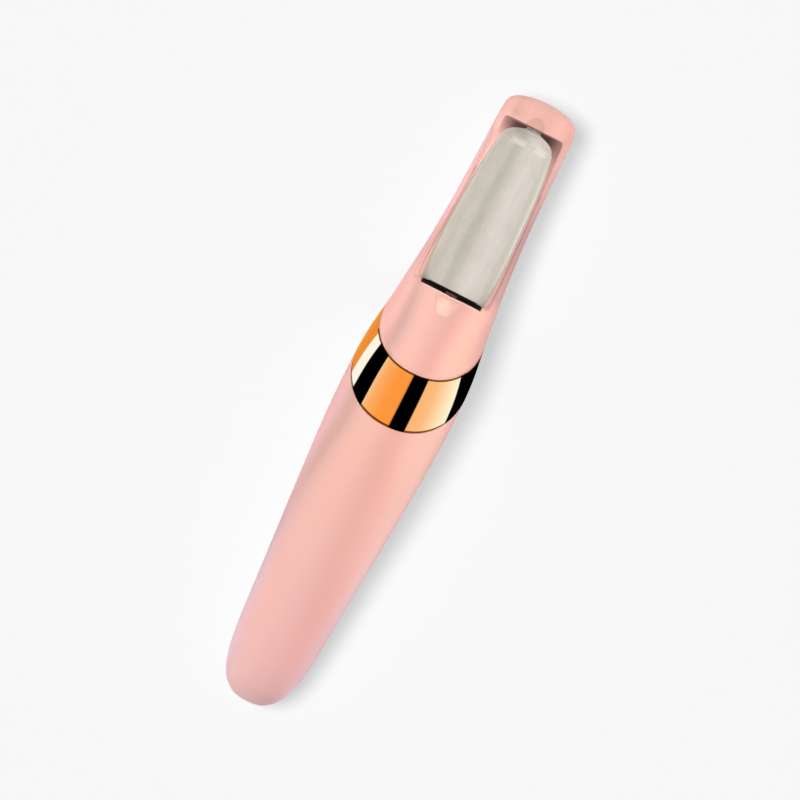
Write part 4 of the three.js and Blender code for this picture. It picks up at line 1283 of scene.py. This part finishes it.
def polished_gold():
    mat = Material("rose_gold_mirror", GOLD, roughness=0.04, metallic=1.0)
    hair = mat.noise(scale=1400, detail=3, roughness=0.6, stretch=(0.6, 24, 24))
    warm = mat.mix(mat.speckle(scale=60, over=(0.35, 0.65)), shades(GOLD, 0.985), GOLD)
    y, z = mat.split(mat.node("NewGeometry").outputs["Position"])[1:]
    beads = []
    for (slope, plane_y, plane_z), side, width in BEADS:
        offset = mat.calc("MULTIPLY_ADD", z, slope, -(plane_y + slope * plane_z) * MM)
        away = mat.product(mat.calc("ADD", y, offset), side / math.sqrt(1 + slope * slope))
        beads.append(mat.fade(away, width))
    dark_bead_reflection = mat.product(
        mat.calc("MAXIMUM", *beads), mat.fade(mat.calc("ABSOLUTE", y), over=(0.016, 0.0165))
    )
    # painted reflection: the beads are painted darker, for the dark reflection in the band's edges,
    # and the light bounced off the band is kept grey
    bounced = mat.node("LightPath").outputs["Is Diffuse Ray"]
    mat.set(
        Base_Color=mat.mix(bounced, mat.mix(dark_bead_reflection, warm, (0.21, 0.075, 0.009)), (0.2, 0.2, 0.2)),
        Roughness=mat.span(hair, over=(0.3, 0.75), to=(0.018, 0.05)),
        Normal=mat.bump(hair, strength=0.012, distance=0.000004),
    )
    return mat


GRIT_BASE = (0.60, 0.552, 0.492)
GRIT_LIGHT = (0.78, 0.725, 0.66)
GRIT_DARK = (0.44, 0.40, 0.345)
# Painted light and shade in streaks along the roller, by sideways direction (0 faces -x, 1 faces +x),
# tint.
GRIT_PAINTED_STREAKS = [
    (0.0, (1.10, 1.10, 1.06)), (0.07, (1.0, 1.0, 0.975)), (0.14, (0.97, 0.97, 0.95)),
    (0.22, (1.0, 1.0, 0.985)), (0.28, (0.945, 0.945, 0.93)), (0.335, (0.85, 0.85, 0.835)),
    (0.385, (0.835, 0.835, 0.82)), (0.43, (0.87, 0.87, 0.855)), (0.49, (0.97, 0.97, 0.96)),
    (0.57, (1.045, 1.045, 1.045)), (0.64, (1.08, 1.08, 1.09)), (0.72, (1.065, 1.065, 1.075)),
    (0.80, (1.02, 1.02, 1.02)), (0.90, (0.93, 0.93, 0.91)), (1.0, (1.06, 1.07, 1.03)),
]
# Two lit patches on the shoulder, by the same direction.
SHOULDER_LIGHT = [
    (0.2, 0), (0.3, 1), (0.46, 1), (0.52, 0), (0.64, 0), (0.7, 1), (0.84, 1), (0.93, 0),
]


def grit():
    mat = Material("mineral_grit", (0.6, 0.55, 0.49), roughness=0.62, Specular_IOR_Level=0.3)
    grains = mat.texture("TexVoronoi", {"Scale": 3400}, feature="F1").outputs
    stops = [(0.0, GRIT_DARK), (0.22, GRIT_BASE), (0.8, GRIT_BASE), (1.0, GRIT_LIGHT)]
    colour = mat.mix(0.62, mat.ramp(grains["Color"], stops), GRIT_BASE)
    cloud = mat.speckle(scale=160, detail=3, roughness=0.6)
    colour = mat.mix(mat.product(cloud, 0.25), colour, GRIT_LIGHT)
    geometry = mat.node("NewGeometry")
    facing = mat.split(geometry.outputs["Normal"])
    y = mat.split(geometry.outputs["Position"])[1]

    def sideways():
        return mat.calc("MULTIPLY_ADD", facing[0], 0.5, 0.5)

    # painted light and shade: streaks by the direction the roller's surface faces
    colour = mat.tint(colour, mat.ramp(sideways(), GRIT_PAINTED_STREAKS, "EASE"))
    fibre = mat.speckle(
        scale=520, roughness=0.6, stretch=(1.0, 0.16, 1.0), distortion=0.6, to=(0.965, 1.035)
    )
    colour = mat.scaled(colour, fibre)
    # light held on the shoulder where the sleeve turns into the dome
    shoulder = mat.product(
        mat.stretch_of(y, rise=(0.0792, 0.0801), fall=(0.0807, 0.0817)),
        mat.grey_ramp(sideways(), SHOULDER_LIGHT),
        0.7,
    )
    colour = mat.mix(shoulder, colour, (0.84, 0.78, 0.70))
    # a faint line where sleeve and dome meet
    seam = mat.calc("ABSOLUTE", mat.calc("SUBTRACT", y, 0.0805))
    seam = mat.span(seam, over=(0.00010, 0.00018), to=(0.2, 0))
    colour = mat.mix(seam, colour, (0.45, 0.41, 0.36))
    coarse = mat.noise(scale=2200, detail=3, roughness=0.7)
    coarse = mat.bump(coarse, strength=0.25, distance=0.00004)
    # painted light: the roller's sides glow, most on its +x side, where the recess walls shade them
    mat.set(
        Base_Color=colour,
        Emission_Color=colour,
        Emission_Strength=mat.product(
            mat.span(facing[2], over=(0.08, 0.52), to=(0.5, 0.0)),
            mat.span(facing[0], over=(0.5, 0.95), to=(1.0, 1.35)),
        ),
        Roughness=mat.span(grains["Distance"], over=(0.0, 0.6), to=(0.5, 0.75)),
        Normal=mat.bump(grains["Distance"], strength=0.22, distance=0.00004, normal=coarse),
    )
    return mat


def rubber():
    colour = (0.006, 0.0055, 0.005)
    mat = Material("black_rubber", colour, roughness=0.7, Specular_IOR_Level=0.12)
    pebbles = mat.noise(scale=5200, detail=3, roughness=0.6)
    mat.set(
        Base_Color=mat.mix(
            mat.speckle(scale=900, detail=3), colour, shades(colour, 1.7, lift=0.002)
        ),
        Roughness=mat.speckle(scale=2400, to=(0.6, 0.8)),
        Normal=mat.bump(pebbles, strength=0.2, distance=0.00003),
    )
    return mat


def brushed(name, colour, roughness=0.28, stretch=(1, 30, 1), scale=900):
    """Metal with fine lines, its colour left plain. Gives the material and the lines."""
    mat = Material(name, colour, roughness, metallic=1.0)
    lines = mat.noise(scale=scale, detail=3, roughness=0.6, stretch=stretch)
    mat.set(
        Roughness=mat.span(lines, over=(0.3, 0.7), to=(roughness - 0.08, roughness + 0.12)),
        Normal=mat.bump(
            lines, strength=0.08, distance=0.00001, normal=mat.rounded(radius=0.00012)
        ),
    )
    return mat, lines


def metal(name, colour, **finish):
    mat, lines = brushed(name, colour, **finish)
    lines = mat.span(lines, over=(0.3, 0.7))
    mat.set(Base_Color=mat.mix(lines, shades(colour, 0.88), shades(colour, 1.08)))
    return mat


STEEL = (0.56, 0.55, 0.53)


def axle_steel():
    """Steel with painted shade and a faint painted glow where it shows in the gap by the seal."""
    mat = brushed("axle_steel", STEEL)[0]
    y = mat.split(mat.node("NewGeometry").outputs["Position"])[1]
    # painted shade and painted glow on the part seen in the seal's gap
    seen = mat.stretch_of(y, rise=(0.0325, 0.0333), fall=(0.0345, 0.0350))
    mat.set(
        Base_Color=mat.mix(seen, STEEL, (0.13, 0.105, 0.08)),
        Emission_Color=(0.30, 0.22, 0.16),
        Emission_Strength=mat.product(seen, 0.28),
    )
    return mat


def plastic(name, colour, roughness=0.45, scale=2600, strength=0.12):
    mat = Material(name, colour, roughness)
    mat.set(
        Base_Color=mat.mix(
            mat.speckle(scale=140, detail=3), shades(colour, 0.9), shades(colour, 1.08, lift=0.002)
        ),
        Roughness=mat.speckle(scale=scale * 0.5, to=(roughness - 0.07, roughness + 0.08)),
        Normal=mat.bump(
            mat.noise(scale=scale, detail=3, roughness=0.6),
            strength=strength, distance=0.00002, normal=mat.rounded(radius=0.00015),
        ),
    )
    return mat


# Painted highlight on the window: squared distance from its bright spot, colour.
WINDOW_PAINTED_HIGHLIGHT = [
    (0.0, (1.0, 0.66, 0.56)), (0.25, (0.98, 0.62, 0.525)), (0.6, (0.95, 0.56, 0.475)),
    (1.0, (0.92, 0.50, 0.43)),
]


def frosted_window():
    mat = Material(
        "frosted_window", (0.92, 0.58, 0.5), roughness=0.34,
        Subsurface_Weight=0.1, Subsurface_Scale=0.001, Specular_IOR_Level=0.25,
    )
    x, y = mat.split(mat.node("NewGeometry").outputs["Position"])[:2]
    # painted highlight: lighter near the window's bright spot, darker away from it
    far = mat.squares(
        relative(mat, x, centre=-0.0006, radius=0.0027),
        relative(mat, y, centre=0.0296, radius=0.0034),
    )
    frost = mat.speckle(scale=700, to=(0, 0.12))
    mat.set(
        Base_Color=mat.mix(frost, mat.ramp(far, WINDOW_PAINTED_HIGHLIGHT), (1.0, 0.68, 0.58)),
        Roughness=mat.speckle(scale=1500, to=(0.24, 0.36)),
        Normal=mat.bump(mat.noise(scale=1800), strength=0.05, distance=0.00002),
    )
    return mat


def board_green():
    mat = Material("solder_mask", (0.02, 0.16, 0.06), roughness=0.35)
    tracks = mat.texture("TexBrick", {
        "Scale": 420,
        "Color1": (0.012, 0.13, 0.045),
        "Color2": (0.018, 0.17, 0.06),
        "Mortar": (0.05, 0.28, 0.1),
        "Mortar Size": 0.03,
    }).outputs
    mat.set(
        Base_Color=tracks["Color"],
        Roughness=mat.speckle(scale=1500, to=(0.28, 0.42)),
        Normal=mat.bump(
            tracks["Fac"], strength=0.1, distance=0.00002, normal=mat.rounded(radius=0.0001)
        ),
    )
    return mat


def cell_wrap():
    mat = Material("cell_wrap", (0.05, 0.2, 0.42), roughness=0.28)
    tone = mat.speckle(scale=300, stretch=(1, 0.2, 1))
    creases = mat.noise(scale=520, detail=3, roughness=0.6, stretch=(1, 0.15, 1))
    mat.set(
        Base_Color=mat.mix(tone, (0.04, 0.17, 0.38), (0.07, 0.24, 0.47)),
        Roughness=mat.speckle(scale=1100, to=(0.22, 0.36)),
        Normal=mat.bump(
            creases, strength=0.12, distance=0.00005, normal=mat.rounded(radius=0.0003)
        ),
    )
    return mat


def windings():
    copper = (0.72, 0.33, 0.16)
    mat = Material("copper_windings", copper, roughness=0.3, metallic=0.9)
    wires = mat.texture(
        "TexWave", {"Scale": 900, "Distortion": 0.6}, wave_type="BANDS", bands_direction="X"
    ).outputs["Fac"]
    stops = [(0.0, (0.30, 0.11, 0.05)), (0.5, copper), (1.0, (0.85, 0.45, 0.25))]
    mat.set(
        Base_Color=mat.ramp(wires, stops),
        Normal=mat.bump(wires, strength=0.4, distance=0.00006),
    )
    return mat


MATERIALS = {
    "pearl_pink": pearl(),
    "rose_gold": polished_gold(),
    "mineral_grit": grit(),
    "black_rubber": rubber(),
    "steel": metal("drawn_steel", STEEL),
    "clear_peach": frosted_window(),
    "white_nylon": plastic("natural_acetal", (0.78, 0.76, 0.70)),
    "dark_plastic": plastic("black_nylon", (0.018, 0.019, 0.022), roughness=0.5),
    "bronze": metal(
        "sintered_bronze", (0.62, 0.40, 0.19), roughness=0.42, stretch=(1, 1, 1), scale=3200
    ),
    "board_green": board_green(),
    "cell_wrap": cell_wrap(),
    "copper": windings(),
    "wire_red": plastic("red_insulation", (0.45, 0.02, 0.015)),
    "wire_black": plastic("black_insulation", (0.012, 0.012, 0.014)),
    "ferrite": plastic("ferrite", (0.05, 0.05, 0.055), roughness=0.7, scale=3800, strength=0.3),
}


def cover(ob, mat):
    ob.data.materials.clear()
    ob.data.materials.append(mat.data)


slot_of = {part["node"]: part["material_slot"] for part in frame["record"]["subparts"]}
for node_name, cad_piece in frame["nodes"].items():
    cover(cad_piece, MATERIALS[slot_of[node_name]])
cover(frame["nodes"]["drive_spindle"], axle_steel())

# Piece, the body it rides on, its material slot, and the CAD piece it stands for.
PIECES = [
    (handle_front, "housing", "pearl_pink", "handle_front_shell"),
    (handle_rear, "housing", "pearl_pink", "handle_rear_shell"),
    (band, "housing", "rose_gold", "gold_band"),
    (head, "housing", "pearl_pink", "head_shell"),
    (window, "housing", "clear_peach", "work_light_lens"),
    (seal, "housing", "black_rubber", "spindle_dust_seal"),
    (socket, "housing", "steel", "charge_port"),
    (tongue, "housing", "dark_plastic"),
    (light_pipe, "housing", "clear_peach", "charge_light_pipe"),
    (sleeve, "roller", "mineral_grit", "abrasive_sleeve"),
    (dome, "roller", "mineral_grit", "roller_dome_cap"),
    (flange, "roller", "black_rubber", "roller_end_cap"),
    (button, "button", "rose_gold", "power_button"),
    (spring, "drive", "steel", "roller_spring"),
]
for piece, body, slot, *replaced in PIECES:
    cover(piece, MATERIALS[slot])
    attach(piece, body)
    if replaced:
        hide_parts(*replaced)
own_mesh(spring)

# ------------------------------------------------------------------ floor
FLOOR_HALF = 3.0
FLOOR_DROP = 0.00002
FLOOR_GLOW = 0.496

floor_corners = [(x * FLOOR_HALF, y * FLOOR_HALF, 0) for x, y in ((-1, -1), (1, -1), (1, 1), (-1, 1))]
floor_mesh = bpy.data.meshes.new("floor")
floor_mesh.from_pydata(floor_corners, [], [(0, 1, 2, 3)])
floor = bpy.data.objects.new("floor", floor_mesh)
floor.location.z = -FLOOR_DROP
bpy.context.scene.collection.objects.link(floor)
floor_mesh.materials.append(Material(
    "floor_pale", (0.8, 0.8, 0.8), roughness=0.9, Specular_IOR_Level=0.0,
    Emission_Color=(1, 1, 1), Emission_Strength=FLOOR_GLOW,
).data)
floor.visible_glossy = False
floor_only = bpy.data.collections.new("floor_only")
bpy.context.scene.collection.children.link(floor_only)
floor_only.objects.link(floor)

# ------------------------------------------------------------------ world
# Reflected light strips: degrees round the long axis from straight up, colour.
STRIPS = [
    (-180, (0.87, 0.45, 0.12)), (-121.5, (0.87, 0.45, 0.12)),
    (-120, (1.0, 1.6, 2.9)), (-89.7, (1.0, 1.6, 2.9)),
    (-88.4, (0, 0, 0)), (-50.3, (0, 0, 0)),
    (-49.0, (0.97, 1.15, 1.25)), (-46.5, (0.97, 0.85, 0.72)), (-36, (0.98, 0.71, 0.48)),
    (-14, (1.0, 0.54, 0.18)), (2.6, (0.98, 0.55, 0.20)),
    (3.8, (0, 0, 0)), (28.4, (0, 0, 0)),
    (29.4, (0.97, 0.82, 0.70)), (52, (1.0, 0.88, 0.86)), (90, (1.0, 1.38, 1.98)),
    (112, (1.0, 1.6, 2.5)),
    (113, (0, 0, 0)), (180, (0, 0, 0)),
]
# The strips close in towards the head: by FAN at FAN_ANGLE radians, looking along y.
FAN = 1.2
FAN_ANGLE = 1.92
POLE_COLOUR = (0.80, 0.58, 0.40)  # seen along the long axis
BACKDROP = (0.956, 0.956, 0.956)
FILL_STRENGTH = 0.12


def build_world():
    """The camera sees a plain backdrop, reflections see the strips, the rest a weak fill."""
    world = bpy.data.worlds.new("studio")
    bpy.context.scene.world = world
    world.use_nodes = True
    sky = Nodes(world.node_tree)
    x, y, z = sky.split(sky.node("TexCoord").outputs["Generated"])
    angle = sky.calc("ARCTAN2", x, z)
    lean = sky.product(sky.calc("ABSOLUTE", angle), y)
    fanned = sky.product(sky.calc("MULTIPLY_ADD", lean, FAN / FAN_ANGLE, 1.0), angle)
    turn_share = sky.calc("MULTIPLY_ADD", fanned, 1 / (2 * math.pi), 0.5, clamp=True)
    strips = sky.ramp(turn_share, [((degrees + 180) / 360, c) for degrees, c in STRIPS])
    pole = sky.span(sky.calc("ABSOLUTE", y), over=(0.72, 0.95))
    reflected = sky.node("Background", {0: sky.mix(pole, strips, POLE_COLOUR)})
    backdrop = sky.node("Background", {0: BACKDROP})
    fill = sky.node("Background", {0: (1, 1, 1), 1: FILL_STRENGTH})
    path = sky.node("LightPath").outputs
    unseen = sky.node(
        "MixShader", {0: path["Is Glossy Ray"], 1: fill.outputs[0], 2: reflected.outputs[0]}
    )
    seen = sky.node(
        "MixShader", {0: path["Is Camera Ray"], 1: unseen.outputs[0], 2: backdrop.outputs[0]}
    )
    sky.node("OutputWorld", {0: seen.outputs[0]})


build_world()

# ------------------------------------------------------------------ lights
# The camera looks straight down, turned by VIEW_TURN. These are its right and up.
VIEW_TURN = math.radians(26.769)
right = Vector((math.cos(VIEW_TURN), math.sin(VIEW_TURN), 0))
up = Vector((-math.sin(VIEW_TURN), math.cos(VIEW_TURN), 0))
BODY_CENTRE = (0, 0, 0.012)
SIDE_DISTANCE, SIDE_SIZE = 0.9, 0.9
# Side fills: name, direction, energy, height.
SIDE_FILLS = [
    ("fill_left", -right, 5.0, 0.5), ("fill_right", right, 7.4, 0.5),
    ("fill_far", up, 3.4, 0.9), ("fill_near", -up, 2.0, 0.9),
]


def lamp(name, kind, location, target, energy, receivers):
    light = bpy.data.lights.new(name, kind)
    light.energy = energy
    ob = bpy.data.objects.new(name, light)
    ob.location = location
    ob.rotation_mode = "QUATERNION"
    ob.rotation_quaternion = (Vector(target) - Vector(location)).to_track_quat("-Z", "Y")
    bpy.context.scene.collection.objects.link(ob)
    ob.visible_glossy = False
    ob.light_linking.receiver_collection = receivers
    return light


def area_fill(name, location, energy, size):
    light = lamp(name, "AREA", location, BODY_CENTRE, energy, receivers=pieces)
    light.shape = "SQUARE"
    light.size = size


key_place = -right * 0.295 + up * 0.06 + Vector((0, 0, 1.0))
key = lamp("key", "SUN", key_place, target=(0, 0, 0), energy=1.40, receivers=floor_only)
key.angle = math.radians(24)
area_fill("fill_top", -right * 0.3 + Vector((0, 0, 1.15)), energy=5.1, size=1.2)
for fill_name, direction, energy, height in SIDE_FILLS:
    place = direction * SIDE_DISTANCE + Vector((0, 0, height))
    area_fill(fill_name, place, energy, SIDE_SIZE)

# ------------------------------------------------------------------ camera
FIELD = 0.224  # width of the view at the height of the widest line
WIDEST_Z = 0.015
LENS, SENSOR = 300, 36
SHIFT_RIGHT, SHIFT_UP = 0.000952, 0.000784

camera_data = bpy.data.cameras.new("camera")
camera_data.lens = LENS
camera_data.sensor_width = SENSOR
camera_data.sensor_fit = "HORIZONTAL"
camera_data.clip_start, camera_data.clip_end = 0.05, 20
camera = bpy.data.objects.new("camera", camera_data)
bpy.context.scene.collection.objects.link(camera)
reach = FIELD / 2 / (SENSOR / 2 / LENS)
shift = right * SHIFT_RIGHT + up * SHIFT_UP
camera.location = Vector((0, 0, WIDEST_Z + reach)) + shift
camera.rotation_euler = (0, 0, VIEW_TURN)
bpy.context.scene.camera = camera

view = bpy.context.scene.view_settings
view.view_transform = "Standard"
view.look = "None"
view.exposure = 0
view.gamma = 1
